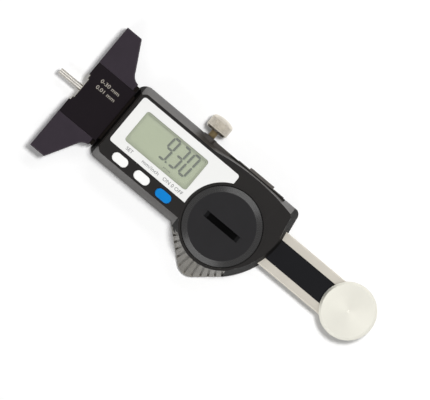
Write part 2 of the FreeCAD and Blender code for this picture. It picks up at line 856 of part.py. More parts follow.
def lower_outline():
    """The housing's foot: straight sides, a round end, and a blunt point below the battery."""
    side = "flank_reach - (shell_half + battery_y) / flank_length"
    flank_start = f"battery_x - ({side}) * flank_length / flank_slope"
    apex_y = "battery_y - flank_drop + flank_slope * apex_half"
    return [
        ("shell_front", minus("neck_half"), "front_corner_round"),
        ("shell_front + front_corner", minus("shell_half")),
        (flank_start, minus("shell_half")),
        ("battery_x - apex_half", apex_y, "apex_round"),
        ("battery_x + apex_half", apex_y),
        ("battery_x + flank_end", "battery_y - flank_drop + flank_slope * flank_end", "end_round"),
        ("shell_end", "end_round_top"),
        ("shell_end - rear_lean", "shell_half - rear_corner_drop", "rear_corner_round"),
        ("shell_end - rear_corner_length", "shell_half"),
        ("bulge_start", "shell_half"),
        ("shell_front + front_corner", "shell_half", "front_corner_round"),
        ("shell_front", "neck_half"),
    ]


def upper_outline():
    """The housing's top: as many edges, and the low ones follow the round battery collar."""
    radius = "collar_radius"
    start = f"battery_x - sqrt({radius} ^ 2 - (top_half + battery_y) ^ 2)"
    apex_x = "apex_half * collar_share"
    apex_y = f"battery_y - sqrt({radius} ^ 2 - ({apex_x}) ^ 2)"
    foot_x = "battery_x + collar_radius * flank_slope / flank_length"
    foot_y = "battery_y - collar_radius / flank_length"
    front = "shell_front + front_draft"
    corner = "shell_front + front_corner + front_draft / 2"
    rear_x = "shell_end - rear_lean - end_draft"
    return [
        (front, "-neck_half + front_draft", "top_corner_round"),
        (corner, minus("top_half")),
        (start, minus("top_half"), radius),
        (f"battery_x - {apex_x}", apex_y, radius),
        (f"battery_x + {apex_x}", apex_y, radius),
        (foot_x, foot_y, "end_round - end_draft"),
        ("shell_end - end_draft", "end_round_top"),
        (rear_x, "shell_half - rear_corner_drop - side_draft", "top_corner_round"),
        ("shell_end - rear_corner_length - end_draft / 2", "top_half", "bulge_round"),
        ("bulge_start", "top_half"),
        (corner, "top_half", "top_corner_round"),
        (front, "neck_half - front_draft"),
    ]


def edge_directions(corners):
    """Direction in which each edge leaves its corner and reaches the next one."""
    spots = [Vector(value(corner[0]), value(corner[1]), 0) for corner in corners]
    pairs = []
    for index, corner in enumerate(corners):
        start = spots[index]
        end = spots[(index + 1) % len(spots)]
        if len(corner) == 2:
            straight = (end - start).normalize()
            pairs.append((straight, straight))
            continue
        centre = arc_centre(start, end, value(corner[2]))
        turn = Vector(0, 0, math.copysign(1, value(corner[2])))
        pairs.append((turn.cross(start - centre).normalize(), turn.cross(end - centre).normalize()))
    return pairs


def inset(corners, thickness):
    """The same outline, one wall thickness further in."""
    pairs = edge_directions(corners)
    inner = []
    for index, corner in enumerate(corners):
        arriving = UPRIGHT.cross(pairs[index - 1][1])
        leaving = UPRIGHT.cross(pairs[index][0])
        mitre = (arriving + leaving) / (1 + arriving.dot(leaving))
        x = f"{corner[0]} + ({thickness}) * ({mitre.x:.6f})"
        y = f"{corner[1]} + ({thickness}) * ({mitre.y:.6f})"
        inner.append((x, y) if len(corner) == 2 else (x, y, f"{corner[2]} - ({thickness})"))
    return inner


def loft(body, kind, low, low_level, high, high_level):
    """A ruled skin between two outlines with as many edges."""
    first = drawn(body, [low], level=low_level)
    last = drawn(body, [high], level=high_level)
    item = body.newObject(f"PartDesign::{kind}Loft", f"{body.Label}_{kind.lower()}_loft")
    item.Profile = first
    item.Sections = [last]
    item.Ruled = True
    first.Visibility = False
    last.Visibility = False
    document.recompute()
    return item


def case_screw_spots(diameter):
    """Two screws in front, one behind and one in the point."""
    return [
        ("front_boss_x", "front_boss_y", diameter),
        ("front_boss_x", minus("front_boss_y"), diameter),
        ("rear_boss_x", "rear_boss_y", diameter),
        ("battery_x", "battery_y - apex_boss_reach", diameter),
    ]


def panel_corners(gap, arc):
    """The panel's outline: a rectangle that gives way to the battery collar."""
    left = f"panel_front - {gap}"
    low = f"panel_low - {gap}"
    right = f"panel_end + {gap}"
    high = f"panel_high + {gap}"
    across = f"battery_x - sqrt(({arc}) ^ 2 - ({low} - battery_y) ^ 2)"
    along = f"battery_y + sqrt(({arc}) ^ 2 - ({right} - battery_x) ^ 2)"
    radius = "panel_corner"
    return [
        (f"{left} + {radius}", low),
        (across, low, minus(arc)),
        (right, along),
        (right, f"{high} - {radius}", radius),
        (f"{right} - {radius}", high),
        (f"{left} + {radius}", high, radius),
        (left, f"{high} - {radius}"),
        (left, f"{low} + {radius}", radius),
    ]


def window_corners(gap):
    """The display window's outline, grown by a gap."""
    edges = ("window_front -", "window_low -", "window_end +", "window_high +")
    return soft_rectangle(*[f"{edge} {gap}" for edge in edges], "panel_corner")


def make_front_shell():
    """Moulded housing with drafted sides, a battery collar and a ribbed thumb skirt."""
    body = new_body("front_shell")
    low = lower_outline()
    high = upper_outline()
    loft(body, "Additive", low, "cover_seat", high, "shell_top")
    inner_low = inset(low, "shell_wall")
    inner_high = inset(high, "shell_wall")
    loft(body, "Subtractive", inner_low, "cover_seat", inner_high, "ceiling_low")
    collar = [("battery_x", "battery_y", "collar_radius * 2")]
    pad(body, collar, "shell_top + collar_rise - collar_bottom", level="collar_bottom")
    cut_battery_well(body)
    pad(body, case_screw_spots("boss_diameter"), "boss_height", level="cover_seat")
    spots = case_screw_spots("case_screw_diameter + round_gap * 2")
    pocket(body, spots, "boss_height - shell_wall", level="cover_seat", back=True)
    add_port(body)
    add_lock_collar(body)
    cut_openings(body)
    cut_ribs(body)
    return body


def cut_battery_well(body):
    """Steps for the cover's flange, the seal, the thread and the cell."""
    ledge = "shell_top - cover_ledge"
    seal_floor = "cover_bottom - seal_thickness - seat_gap * 2"
    seal_wall = "seal_radius + seal_thickness / 2 + thread_gap"
    flange_wall = "cover_radius + cover_room"
    thread = "neck_radius + thread_gap"
    cell = "cell_diameter / 2 + cell_room"
    profile = [
        ("0", "collar_bottom - overrun"),
        (cell, "collar_bottom - overrun"),
        (cell, "thread_bottom"),
        (thread, "thread_bottom"),
        (thread, seal_floor),
        (seal_wall, seal_floor),
        (seal_wall, ledge),
        (flange_wall, ledge),
        (flange_wall, "shell_top + collar_rise + overrun"),
        ("0", "shell_top + collar_rise + overrun"),
    ]
    turned(body, profile, "Groove", "battery_x", "battery_y")
    half = "(contact_width / 2 + side_gap)"
    back = "contact_place + contact_thickness + seat_gap"
    notch = rectangle(f"battery_x - {half}", "battery_y", f"battery_x + {half}", back)
    pocket(body, [notch], "thread_bottom - collar_bottom", level="thread_bottom")


def add_port(body):
    """Block inside the side wall, with a T slot for the sliding cover and a window for the contacts."""
    start = "port_slot_start - port_block_end"
    end = "port_slot_end + port_block_end"
    block = rectangle(start, "port_block_inner", end, "port_face")
    pad(body, [block], "port_block_top - cover_seat", level="cover_seat")
    low = "port_cover_low - side_gap"
    high = "port_cover_low + port_cover_height + side_gap"
    opening = rectangle("port_slot_start", low, "port_slot_end", high)
    pocket(body, [opening], "port_cover_neck", "XZ", "port_face", back=True)
    wide = rectangle(
        "port_slot_start", f"{low} - port_flange_lip", "port_slot_end", f"{high} + port_flange_lip"
    )
    pocket(body, [wide], "port_flange_thickness + side_gap", "XZ", "port_neck_floor", back=True)
    middle = "port_middle"
    room = "(contacts_height / 2 + side_gap * 2)"
    right = "contacts_start + contacts_length + side_gap"
    window = rectangle("contacts_start - side_gap", f"{middle} - {room}", right, f"{middle} + {room}")
    pocket(body, [window], "port_face", "XZ", "port_face", back=True)


def add_lock_collar(body):
    """Round pad on the side wall, bored for the clamping screw's shaft."""
    collar = [("lock_x", "0", "lock_collar_diameter")]
    outer = "shell_half + lock_collar_rise"
    pad(body, collar, f"{outer} - port_block_inner", "XZ", outer)
    bore = [("lock_x", "0", "lock_hole_diameter")]
    pocket(body, bore, f"{outer} - frame_half", "XZ", outer, back=True)


def cut_openings(body):
    """Ways through for the frame, the beam, the panel, the display and the buttons."""
    waist = "waist_half + side_gap * 2"
    room = "frame_top - cover_seat + side_gap * 2"
    front = rectangle("shell_front - overrun", minus(waist), "board_start", waist)
    pocket(body, [front], room, level="cover_seat", back=True)
    beam = "beam_half + beam_room"
    rear = rectangle("frame_end", minus(beam), "shell_end + overrun", beam)
    pocket(body, [rear], room, level="cover_seat", back=True)
    recess = panel_corners("panel_gap", "collar_radius")
    pocket(body, [recess], "panel_sink", level="shell_top")
    pocket(body, [window_corners("-window_lip")], "shell_ceiling", level="shell_top")
    room = "key_room"
    for step in range(3):
        x = f"button_first + button_pitch * {step}"
        opening = (x, "button_y", f"button_length + {room}", f"button_width + {room}")
        pocket(body, [opening], "shell_ceiling + overrun", level="shell_top")


def cut_ribs(body):
    """Radial grooves down the thumb skirt, each as long as the skirt is there."""
    count = round(value("rib_count"))
    pitch = value("rib_pitch")
    flank_angle = math.degrees(math.atan(value("flank_slope")))
    apex_reach = value("flank_drop - apex_round * flank_length + apex_round")
    for index in range(count):
        angle = (index - (count - 1) / 2) * pitch
        swing = f"cos({flank_angle - abs(angle):.6f} deg)"
        near_point = value("flank_reach") / value(swing) > apex_reach
        foot = "flank_drop - apex_round * flank_length + apex_round"
        reach = foot if near_point else f"flank_reach / {swing}"
        slope = f"(({reach}) - collar_radius) / shell_height"
        profile = [
            (f"collar_radius + {slope} * rib_drop - rib_depth", "shell_top - rib_drop"),
            (f"{reach} - rib_depth", "cover_seat"),
            (f"{reach} + rib_depth", "cover_seat"),
            (f"{reach} + rib_depth", "shell_top - rib_drop"),
        ]
        sketch = drawn(body, [profile], "XZ", "battery_y", "battery_x")
        sketch.AttachmentOffset = Placement(
            sketch.AttachmentOffset.Base, Rotation(Vector(0, 1, 0), angle - 90)
        )
        feature(body, "Pocket", sketch, "rib_width", both=True)


def make_rear_cover():
    """Flat cover with the housing's own outline, a bevelled rim and four countersunk holes."""
    body = new_body("rear_cover")
    outline = lower_outline()
    rim = "ground + rear_cover_edge"
    loft(body, "Additive", inset(outline, "rear_cover_edge"), "ground", outline, rim)
    pad(body, [outline], "rear_cover_thickness - rear_cover_edge", level=rim)
    countersunk(body, case_screw_spots, "case_screw_diameter", "case_screw_head", "ground")
    return body


# The display and its boards


def make_panel():
    """White panel let into the top, with the window's opening."""
    body = new_body("display_panel")
    pad(body, [panel_corners("0", "collar_radius + panel_gap")], "panel_thickness", level="panel_floor")
    pocket(body, [window_corners("0")], "panel_thickness", level="panel_floor", back=True)
    window = new_body("display_window")
    pad(window, [window_corners("-side_gap")], "window_thickness", level="panel_floor")


def glass_corners(gap):
    """The display glass's outline, grown by a gap."""
    edges = ("glass_front -", "glass_low -", "glass_end +", "glass_high +")
    return rectangle(*[f"{edge} {gap}" for edge in edges])


def make_display():
    """Glass under the window, the frame that holds it and the strips that feed it."""
    glass = new_body("lcd_glass")
    pad(glass, [glass_corners("0")], "lcd_thickness", level="lcd_bottom")
    holder = new_body("lcd_holder")
    pad(holder, [glass_corners("holder_wall")], "lcd_top - board_top", level="board_top")
    pocket(holder, [glass_corners("side_gap")], "lcd_thickness", level="lcd_top")
    well = glass_corners("-strip_block_width / 2")
    pocket(holder, [well], "lcd_bottom - board_top", level="lcd_bottom")
    strips = new_body("zebra_strips")
    edge = "strip_block_width / 2"
    start = f"glass_front + {edge} + side_gap"
    end = f"glass_end - {edge} - side_gap"
    low = f"glass_low + {edge} + side_gap"
    high = f"glass_high - {edge} - side_gap"
    rows = [
        rectangle(start, low, end, f"{low} + strip_block_width"),
        rectangle(start, f"{high} - strip_block_width", end, high),
    ]
    pad(strips, rows, "lcd_bottom - board_top", level="board_top")


def make_boards():
    """Main board on the rails, with its chip, its screws and the button domes."""
    board = new_body("main_board")
    corners = rectangle("board_start", minus("frame_half"), "board_end", "frame_half")
    pad(board, [corners], "board_thickness", level="frame_top")
    spots = board_screw_spots("board_screw_diameter + round_gap * 2")
    pocket(board, spots, "board_thickness", level="board_top")
    chip = new_body("board_chip", "chip_x", "chip_y", "board_top")
    pad(chip, [rectangle("0", "0", "chip_size", "chip_size")], "chip_height")
    screws = new_body("board_screws")
    pad(screws, board_screw_spots("board_screw_head"), "board_screw_head_height", level="board_top")
    length = "board_screw_depth + board_thickness"
    pad(screws, board_screw_spots("board_screw_diameter"), length, level="board_top", back=True)
    domes = new_body("switch_domes", "button_first", "button_y", "board_top")
    spots = [(f"button_pitch * {step}", "0", "dome_diameter") for step in range(3)]
    pad(domes, spots, "dome_height", taper="-dome_taper")


def make_buttons():
    """Three pill-shaped keys with a flange under the ceiling and a stem down to the dome."""
    for step, label in enumerate(("preset_button", "unit_button", "power_button")):
        body = new_body(label, f"button_first + button_pitch * {step}", "button_y", "button_top")
        height = "button_top - ceiling_low + seat_gap"
        pad(body, [("0", "0", "button_length", "button_width")], height, back=True)
        dress(body, "Fillet", "button_edge", at_height("0"))
        half = "button_flange / 2"
        deep = "button_flange_width / 2"
        flange = rectangle(minus(half), minus(deep), half, deep)
        level = minus(height)
        pad(body, [flange], "button_flange_thickness", level=level, back=True)
        stem = ("0", "0", "button_stem_diameter")
        length = "ceiling_low - seat_gap - board_top - dome_height - button_travel - seat_gap"
        pad(body, [stem], length, level=level, back=True)


# The battery and its cover


def make_battery():
    """Coin cell between a spring below and a clip at its rim."""
    cell = new_body("battery_cell", "battery_x", "battery_y", "cell_bottom")
    radius = "cell_diameter / 2"
    profile = [
        ("0", "0"),
        (f"{radius} - cell_step * 4", "0"),
        (f"{radius} - cell_step * 4", "cell_step"),
        (f"{radius} - cell_step", "cell_step"),
        (radius, "cell_step * 2"),
        (radius, "cell_thickness - cell_step"),
        (f"{radius} - cell_step", "cell_thickness"),
        ("0", "cell_thickness"),
    ]
    turned(cell, profile)
    make_negative_contact()
    make_positive_contact()


def make_negative_contact():
    """Bent spring leaf: two feet on the board and a bridge that carries the cell."""
    body = new_body("contact_negative", "battery_x", "battery_y", "board_top")
    half = "contact_length / 2"
    thin = "contact_thickness"
    rise = "cell_lift - seat_gap"
    profile = [
        (minus(half), "0"),
        (f"-{half} * leaf_foot", "0"),
        (f"-{half} * leaf_top", f"{rise} - {thin}"),
        (f"{half} * leaf_top", f"{rise} - {thin}"),
        (f"{half} * leaf_foot", "0"),
        (half, "0"),
        (half, thin),
        (f"{half} * (leaf_foot + leaf_bend)", thin),
        (f"{half} * (leaf_top + leaf_bend)", rise),
        (f"-{half} * (leaf_top + leaf_bend)", rise),
        (f"-{half} * (leaf_foot + leaf_bend)", thin),
        (minus(half), thin),
    ]
    pad(body, [profile], "contact_width", "XZ", both=True)


def make_positive_contact():
    """Angle clip that stands beside the cell."""
    body = new_body("contact_positive", "battery_x", "contact_place", "board_top")
    thin = "contact_thickness"
    profile = [
        ("0", "0"),
        ("positive_foot", "0"),
        ("positive_foot", thin),
        (thin, thin),
        (thin, "positive_height"),
        ("0", "positive_height"),
    ]
    pad(body, [profile], "contact_width", "YZ", both=True)


def make_battery_cover():
    """Screw cap with a bevelled rim, a coin slot and a hollow neck, and its sealing ring."""
    cover = new_body("battery_cover", "battery_x", "battery_y", "cover_bottom")
    hollow = "cell_top + round_gap * 4 - cover_bottom"
    profile = [
        ("0", hollow),
        ("neck_radius - neck_wall", hollow),
        ("neck_radius - neck_wall", minus("neck_length")),
        ("neck_radius", minus("neck_length")),
        ("neck_radius", "0"),
        ("cover_radius", "0"),
        ("cover_radius", "cover_flange - cover_bevel"),
        ("cover_face_radius", "cover_flange"),
        ("0", "cover_flange"),
    ]
    turned(cover, profile)
    slot = [("0", "0", "coin_slot_length", "coin_slot_width")]
    pocket(cover, slot, "coin_slot_depth", level="cover_flange")
    seal = new_body("cover_seal", "battery_x", "battery_y", "cover_bottom")
    sketch = new_sketch(seal, "XZ")
    level = "-seal_thickness / 2 - seat_gap"
    add_circle(sketch, "seal_radius", level, "seal_thickness")
    ring = seal.newObject("PartDesign::Revolution", "cover_seal_ring")
    ring.Profile = sketch
    ring.ReferenceAxis = (sketch, ["V_Axis"])
    ring.Angle = FULL_TURN
    document.recompute()


# The data port and the clamping screw


def make_port():
    """Sliding cover with a grip, and the contact block behind it."""
    cover = new_body("data_port_cover", "port_cover_start", z="port_cover_low")
    stem = rectangle("0", "0", "port_cover_length", "port_cover_height")
    outer = "port_face + port_cover_proud"
    inner = "port_neck_floor - side_gap"
    pad(cover, [stem], f"{outer} - ({inner})", "XZ", outer)
    lip = "port_flange_lip - side_gap"
    flange = rectangle("0", minus(lip), "port_cover_length", f"port_cover_height + {lip}")
    thickness = "port_flange_thickness - side_gap * 2"
    pad(cover, [flange], thickness, "XZ", inner)
    left = "(port_cover_length - port_grip_length) / 2"
    low = "(port_cover_height - port_grip_height) / 2"
    grip = rectangle(left, low, f"{left} + port_grip_length", f"{low} + port_grip_height")
    pad(cover, [grip], "port_grip_rise", "XZ", outer, back=True)
    contacts = new_body("data_contacts", "contacts_start + side_gap", "frame_half", "port_middle")
    half = "contacts_height / 2"
    block = rectangle("0", minus(half), "contacts_length - side_gap", half)
    pad(contacts, [block], "contacts_reach", "XZ", back=True)
    tab = rectangle("0", minus(half), "contacts_length - side_gap", "board_top - port_middle")
    pad(contacts, [tab], "contacts_tab", "XZ", back=True)


def make_lock():
    """Brass pad against the gib, and the clamping screw with its barrel head."""
    tip = new_body("lock_pad", "lock_x")
    pad(tip, [("0", "0", "lock_shaft_diameter")], "lock_pad_length", "XZ", "pad_outer")
    screw = new_body("lock_screw", "lock_x", "pad_outer")
    sketch = new_sketch(screw, "XY")
    radius = "lock_head_diameter / 2"
    shaft = "lock_shaft_diameter / 2"
    start = "lock_head_start - pad_outer"
    end = f"{start} + lock_head_length"
    edge = "lock_head_edge"
    dome = "lock_dome"
    crown = f"((({radius} - {edge}) ^ 2 + {dome} ^ 2) / (2 * {dome}))"
    profile = [
        ("0", "0"),
        (shaft, "0"),
        (shaft, start),
        (f"{radius} - {edge}", start),
        (radius, f"{start} + {edge}"),
        (radius, f"{end} - {dome} - {edge}"),
        (f"{radius} - {edge}", f"{end} - {dome}", crown),
        ("0", end),
    ]
    add_outline(sketch, profile)
    turn = screw.newObject("PartDesign::Revolution", "lock_screw_form")
    turn.Profile = sketch
    turn.ReferenceAxis = (sketch, ["V_Axis"])
    turn.Angle = FULL_TURN
    document.recompute()


def check_and_write():
    """Stop at any failed object, then write each piece to its own file."""
    document.recompute()
    for item in document.Objects:
        if "Invalid" in item.State or "Error" in item.State:
            raise RuntimeError(f"{item.Name} failed: {item.State}")
    os.makedirs("parts", exist_ok=True)
    for body in pieces:
        shape = body.Shape
        if shape.isNull() or not shape.isValid():
            raise RuntimeError(f"{body.Label} has no sound shape")
        shape.exportStep(os.path.join("parts", f"{body.Label}.step"))
        print(f"{body.Label}: {len(shape.Solids)} solids, {shape.Volume:.2f} cubic millimetres")


fill_sheet()
make_bridge()
make_bridge_cover()
screw_group(
    "bridge_screws",
    bridge_screw_spots,
    "bridge_screw_diameter",
    "bridge_screw_head",
    "ground",
    "bridge_screw_top - ground",
)
make_slide_frame()
make_back_plate()
screw_group(
    "back_plate_screws",
    plate_screw_spots,
    "plate_screw_diameter",
    "plate_screw_head",
    "cover_seat",
    "plate_screw_length",
)
make_gib()
make_beam()
make_scale()
make_measuring_pin()
make_travel_stop()
make_knob()
make_front_shell()
make_rear_cover()
screw_group(
    "case_screws",
    case_screw_spots,
    "case_screw_diameter",
    "case_screw_head",
    "ground",
    "case_screw_length",
)
make_panel()
make_display()
make_boards()
make_buttons()
make_battery()
make_battery_cover()
make_port()
make_lock()
check_and_write()
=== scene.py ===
import logging
import math
from contextlib import contextmanager
from dataclasses import dataclass, replace
from enum import Enum
from typing import Any, Callable, Iterator, Sequence

import bmesh
import bpy
from mathutils import Matrix, Vector


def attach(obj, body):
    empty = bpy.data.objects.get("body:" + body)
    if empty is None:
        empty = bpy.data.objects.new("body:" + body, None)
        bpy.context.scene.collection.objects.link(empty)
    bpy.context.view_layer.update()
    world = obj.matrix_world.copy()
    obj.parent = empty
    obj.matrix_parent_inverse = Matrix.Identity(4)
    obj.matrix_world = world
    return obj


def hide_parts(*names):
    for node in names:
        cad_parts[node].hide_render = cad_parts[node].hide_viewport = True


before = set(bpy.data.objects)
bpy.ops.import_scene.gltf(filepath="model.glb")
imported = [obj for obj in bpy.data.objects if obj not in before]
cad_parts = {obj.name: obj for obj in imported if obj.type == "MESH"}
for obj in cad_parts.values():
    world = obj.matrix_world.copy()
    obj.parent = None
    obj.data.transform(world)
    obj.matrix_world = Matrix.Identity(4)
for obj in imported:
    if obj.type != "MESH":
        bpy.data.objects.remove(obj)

LOG = logging.getLogger("depth_caliper")
MM = 0.001
FULL_TURN = 2 * math.pi
# Scale at which a wave texture repeats once in a metre.
WAVE_PERIOD = 0.31416
# Points nearer than this become one, and so do faces that turn less than this.
TOUCH = 0.001 * MM
FLAT_DEG = 0.6
# Edges that turn more than this are rounded.
CORNER_DEG = 32.0
# Height of a capital in Blender's own font, as a share of the text's size.
CAPITALS_SHARE = 0.7
WHITE = (1.0, 1.0, 1.0, 1.0)
Point = tuple[float, float, float]
ORIGIN: Point = (0.0, 0.0, 0.0)


def linear(colour: str) -> tuple[float, float, float, float]:
    """Turn an sRGB hex value to linear light.

    Args:
        colour: "#rrggbb".

    Returns:
        Red, green, blue and an alpha of 1.
    """
    channels = [int(colour[start:start + 2], 16) / 255 for start in (1, 3, 5)]
    red, green, blue = (
        part / 12.92 if part <= 0.04045 else ((part + 0.055) / 1.055) ** 2.4 for part in channels
    )
    return red, green, blue, 1.0


def add_node(
    tree: bpy.types.NodeTree,
    kind: str,
    settings: dict[Any, Any] | None = None,
    links: dict[Any, bpy.types.NodeSocket] | None = None,
) -> bpy.types.Node:
    """Add a node with its settings and links.

    Args:
        tree: the tree it goes into.
        kind: Blender's name of the node.
        settings: values of sockets, by name or number, or of the node's own properties.
        links: sockets that feed its inputs, by name or number.

    Returns:
        The new node.
    """
    node = tree.nodes.new(kind)
    for key, value in (settings or {}).items():
        if isinstance(key, int) or key in node.inputs:
            node.inputs[key].default_value = value
        else:
            setattr(node, key, value)
    for key, source in (links or {}).items():
        tree.links.new(source, node.inputs[key])
    return node


def emptied(block: bpy.types.Material | bpy.types.World) -> bpy.types.NodeTree:
    """Switch a new material or world to nodes, clear them and hand out its tree."""
    block.use_nodes = True
    block.node_tree.nodes.clear()
    return block.node_tree


def new_object(name: str, data: bpy.types.ID) -> bpy.types.Object:
    """Put a mesh, a lamp or a camera into the scene."""
    made = bpy.data.objects.new(name, data)
    bpy.context.scene.collection.objects.link(made)
    return made


def middle_of(face: bmesh.types.BMFace) -> Vector:
    """The middle of a face, in millimetres."""
    return face.calc_center_median() / MM


class Marks(Enum):
    """What the making of a surface leaves on it."""

    GRAIN = "round grains, as from blasting or spark erosion"
    RINGS = "rings about an axis, as from a lathe"
    STRIPES = "regular stripes, as in layered rubber"
    TRACES = "tracks and pads under a solder mask"


@dataclass(frozen=True)
class Finish:
    """A material with the marks of its making, at their real size in millimetres."""

    name: str
    colour: str
    roughness: float
    metallic: float = 0.0
    marks: Marks = Marks.GRAIN
    mark_mm: float = 0.3
    relief_mm: float = 0.01
    shade: float = 0.86
    patch_mm: float = 9.0
    spread: float = 0.06
    stretch: Point = (1.0, 1.0, 1.0)
    centre_mm: Point = (0.0, 0.0, 0.0)
    turn_deg: Point = (0.0, 0.0, 0.0)
    specular: float = 0.5
    coat: float = 0.0
    anisotropy: float = 0.0
    alpha: float = 1.0
    second_colour: str = ""

    def pattern(self, tree: bpy.types.NodeTree, place: bpy.types.NodeSocket) -> bpy.types.NodeSocket:
        """Add the texture of the marks.

        Args:
            tree: the material's tree.
            place: where the surface is, centred and stretched for the marks.

        Returns:
            The height of the marks, from 0 to 1.
        """
        size = self.mark_mm * MM
        if self.marks is Marks.RINGS:
            settings = {"wave_type": "RINGS", "rings_direction": "Z", "Scale": WAVE_PERIOD / size,
                        "Distortion": 0.7, "Detail": 2.0, "Detail Scale": 2.0}
            return add_node(tree, "ShaderNodeTexWave", settings, {"Vector": place}).outputs["Fac"]
        if self.marks is Marks.STRIPES:
            settings = {"wave_type": "BANDS", "bands_direction": "X", "Scale": WAVE_PERIOD / size}
            return add_node(tree, "ShaderNodeTexWave", settings, {"Vector": place}).outputs["Fac"]
        if self.marks is Marks.TRACES:
            settings = {"Scale": 1 / size, "Mortar Size": 0.09, "Mortar Smooth": 0.2,
                        "Brick Width": 3.0, "Row Height": 0.5}
            return add_node(tree, "ShaderNodeTexBrick", settings, {"Vector": place}).outputs["Fac"]
        settings = {"Scale": 1 / size, "Detail": 3.0, "Roughness": 0.6}
        return add_node(tree, "ShaderNodeTexNoise", settings, {"Vector": place}).outputs["Fac"]

    def build(self) -> bpy.types.Material:
        """Make the material once and hand it out after that.

        Returns:
            The material, with tone, gloss and relief from its own nodes.
        """
        made = bpy.data.materials.get(self.name)
        if made:
            return made
        made = bpy.data.materials.new(self.name)
        tree = emptied(made)
        spot = add_node(tree, "ShaderNodeTexCoord").outputs["Object"]
        settings = {"vector_type": "TEXTURE", "Location": [length * MM for length in self.centre_mm],
                    "Rotation": [math.radians(angle) for angle in self.turn_deg],
                    "Scale": self.stretch}
        place = add_node(tree, "ShaderNodeMapping", settings, {"Vector": spot}).outputs["Vector"]
        fine = self.pattern(tree, place)
        settings = {"Scale": 1 / (self.patch_mm * MM), "Detail": 4.0, "Roughness": 0.55}
        broad = add_node(tree, "ShaderNodeTexNoise", settings, {"Vector": spot}).outputs["Fac"]
        settings = {"From Min": 0.3, "From Max": 0.7}
        share = add_node(tree, "ShaderNodeMapRange", settings, {"Value": broad}).outputs["Result"]
        light = linear(self.colour)
        dark = tuple(channel * self.shade for channel in light[:3]) + (1.0,)
        settings = {"data_type": "RGBA", 6: dark, 7: light}
        tone = add_node(tree, "ShaderNodeMix", settings, {0: share}).outputs[2]
        if self.second_colour:
            settings = {"data_type": "RGBA", 7: linear(self.second_colour)}
            tone = add_node(tree, "ShaderNodeMix", settings, {0: fine, 6: tone}).outputs[2]
        settings = {"From Min": 0.25, "From Max": 0.75, "To Min": self.roughness - self.spread,
                    "To Max": self.roughness + self.spread}
        gloss = add_node(tree, "ShaderNodeMapRange", settings, {"Value": fine}).outputs["Result"]
        settings = {"Strength": 1.0, "Distance": self.relief_mm * MM}
        relief = add_node(tree, "ShaderNodeBump", settings, {"Height": fine}).outputs["Normal"]
        settings = {"Metallic": self.metallic, "Specular IOR Level": self.specular,
                    "Coat Weight": self.coat, "Coat Roughness": 0.08, "Alpha": self.alpha,
                    "Anisotropic": self.anisotropy}
        links = {"Base Color": tone, "Roughness": gloss, "Normal": relief}
        if self.anisotropy:
            radial = {"direction_type": "RADIAL", "axis": "Z"}
            links["Tangent"] = add_node(tree, "ShaderNodeTangent", radial).outputs[0]
        surface = add_node(tree, "ShaderNodeBsdfPrincipled", settings, links)
        add_node(tree, "ShaderNodeOutputMaterial", {}, {"Surface": surface.outputs["BSDF"]})
        return made


# Aluminium, blasted and dyed black in the anodising bath: dull, slightly violet, a soft sheen.
ANODISED = Finish("black_anodised_aluminium_blasted", "#2f2830", 0.44, metallic=0.12, mark_mm=0.24,
                  relief_mm=0.012, shade=0.82, specular=0.26)
# The same where handling has thinned the dye on the corners: a little lighter and smoother.
ANODISED_EDGE = Finish("anodised_aluminium_worn_corner", "#4b434b", 0.36, metallic=0.4, mark_mm=0.5,
                       relief_mm=0.006, shade=0.6, patch_mm=2.5, specular=0.3)
# Steel plate with a flat black lacquer: the darkest and dullest surface of the tool.
LACQUER = Finish("black_lacquered_steel_flat", "#161115", 0.58, mark_mm=0.16, relief_mm=0.01,
                 shade=0.86, specular=0.12)
# Steel where milling has cut through the black: bare, bright, with crossing cutter lines.
BARE_STEEL = Finish("stainless_steel_milled", "#cdc8bd", 0.3, metallic=1.0, mark_mm=0.12,
                    relief_mm=0.004, stretch=(1.0, 20.0, 1.0))
# Steel blackened in a hot salt bath: dull black with a faint brown where it is thin.
BLACKENED = Finish("tool_steel_blackened_dull", "#17120f", 0.5, metallic=0.1, mark_mm=0.2,
                   relief_mm=0.006, shade=0.7, patch_mm=2.0, specular=0.12)
# ABS moulded in a spark eroded tool: an even fine grain that spreads the light.
HOUSING_ABS = Finish("black_abs_spark_eroded", "#1b1918", 0.42, mark_mm=0.3, relief_mm=0.02,
                     shade=0.8, spread=0.08, specular=0.26)
# The same grain on the long flanks, glossier and painted greyer: painted light, for the bright floor
# that the flanks reflect.
HOUSING_FLANK_PAINTED_LIGHT = replace(HOUSING_ABS, name="black_abs_flank_painted_light", colour="#38332f",
                        roughness=0.4, patch_mm=5.0, specular=0.6)
# The thumb skirt, painted light grey and warm: painted light, for the low light that falls on it and
# the floor that it reflects.
HOUSING_SKIRT_PAINTED_LIGHT = replace(HOUSING_ABS, name="black_abs_skirt_painted_light", colour="#8a867d",
                        shade=0.78, patch_mm=3.0, specular=0.6)
# The port cover's grip, painted grey: painted light on its side.
PORT_GRIP_PAINTED_LIGHT = replace(HOUSING_SKIRT_PAINTED_LIGHT, name="black_abs_grip_painted_light", colour="#5b5753",
                    patch_mm=2.0, specular=0.45)
# Both ends: the tool's grain, dull, and painted dark as painted shade.
HOUSING_END_PAINTED_SHADE = replace(HOUSING_ABS, name="black_abs_end_painted_shade", colour="#131211",
                      roughness=0.6, specular=0.08)
# ABS from a finer tool, rubbed smoother by the thumb that turns it.
CAP_ABS = Finish("black_abs_fine_matt", "#19181a", 0.34, mark_mm=0.2, relief_mm=0.008, shade=0.8,
                 patch_mm=6.0, specular=0.3)
# The cap's bevel, which every finger turns on: polished by it, so that it mirrors the lamps.
CAP_BEVEL = Finish("black_abs_bevel_polished_by_use", "#1e1d1d", 0.27, mark_mm=0.2, relief_mm=0.006,
                   shade=0.8, patch_mm=4.0, specular=0.55)
# The upper part of the coin slot: duller than the face and painted darker, as painted shade in the
# recess.
CAP_SLOT_UPPER_PAINTED_SHADE = Finish("black_abs_slot_upper_painted_shade", "#101011", 0.6, mark_mm=0.2, relief_mm=0.01,
                       shade=0.8, specular=0.12)
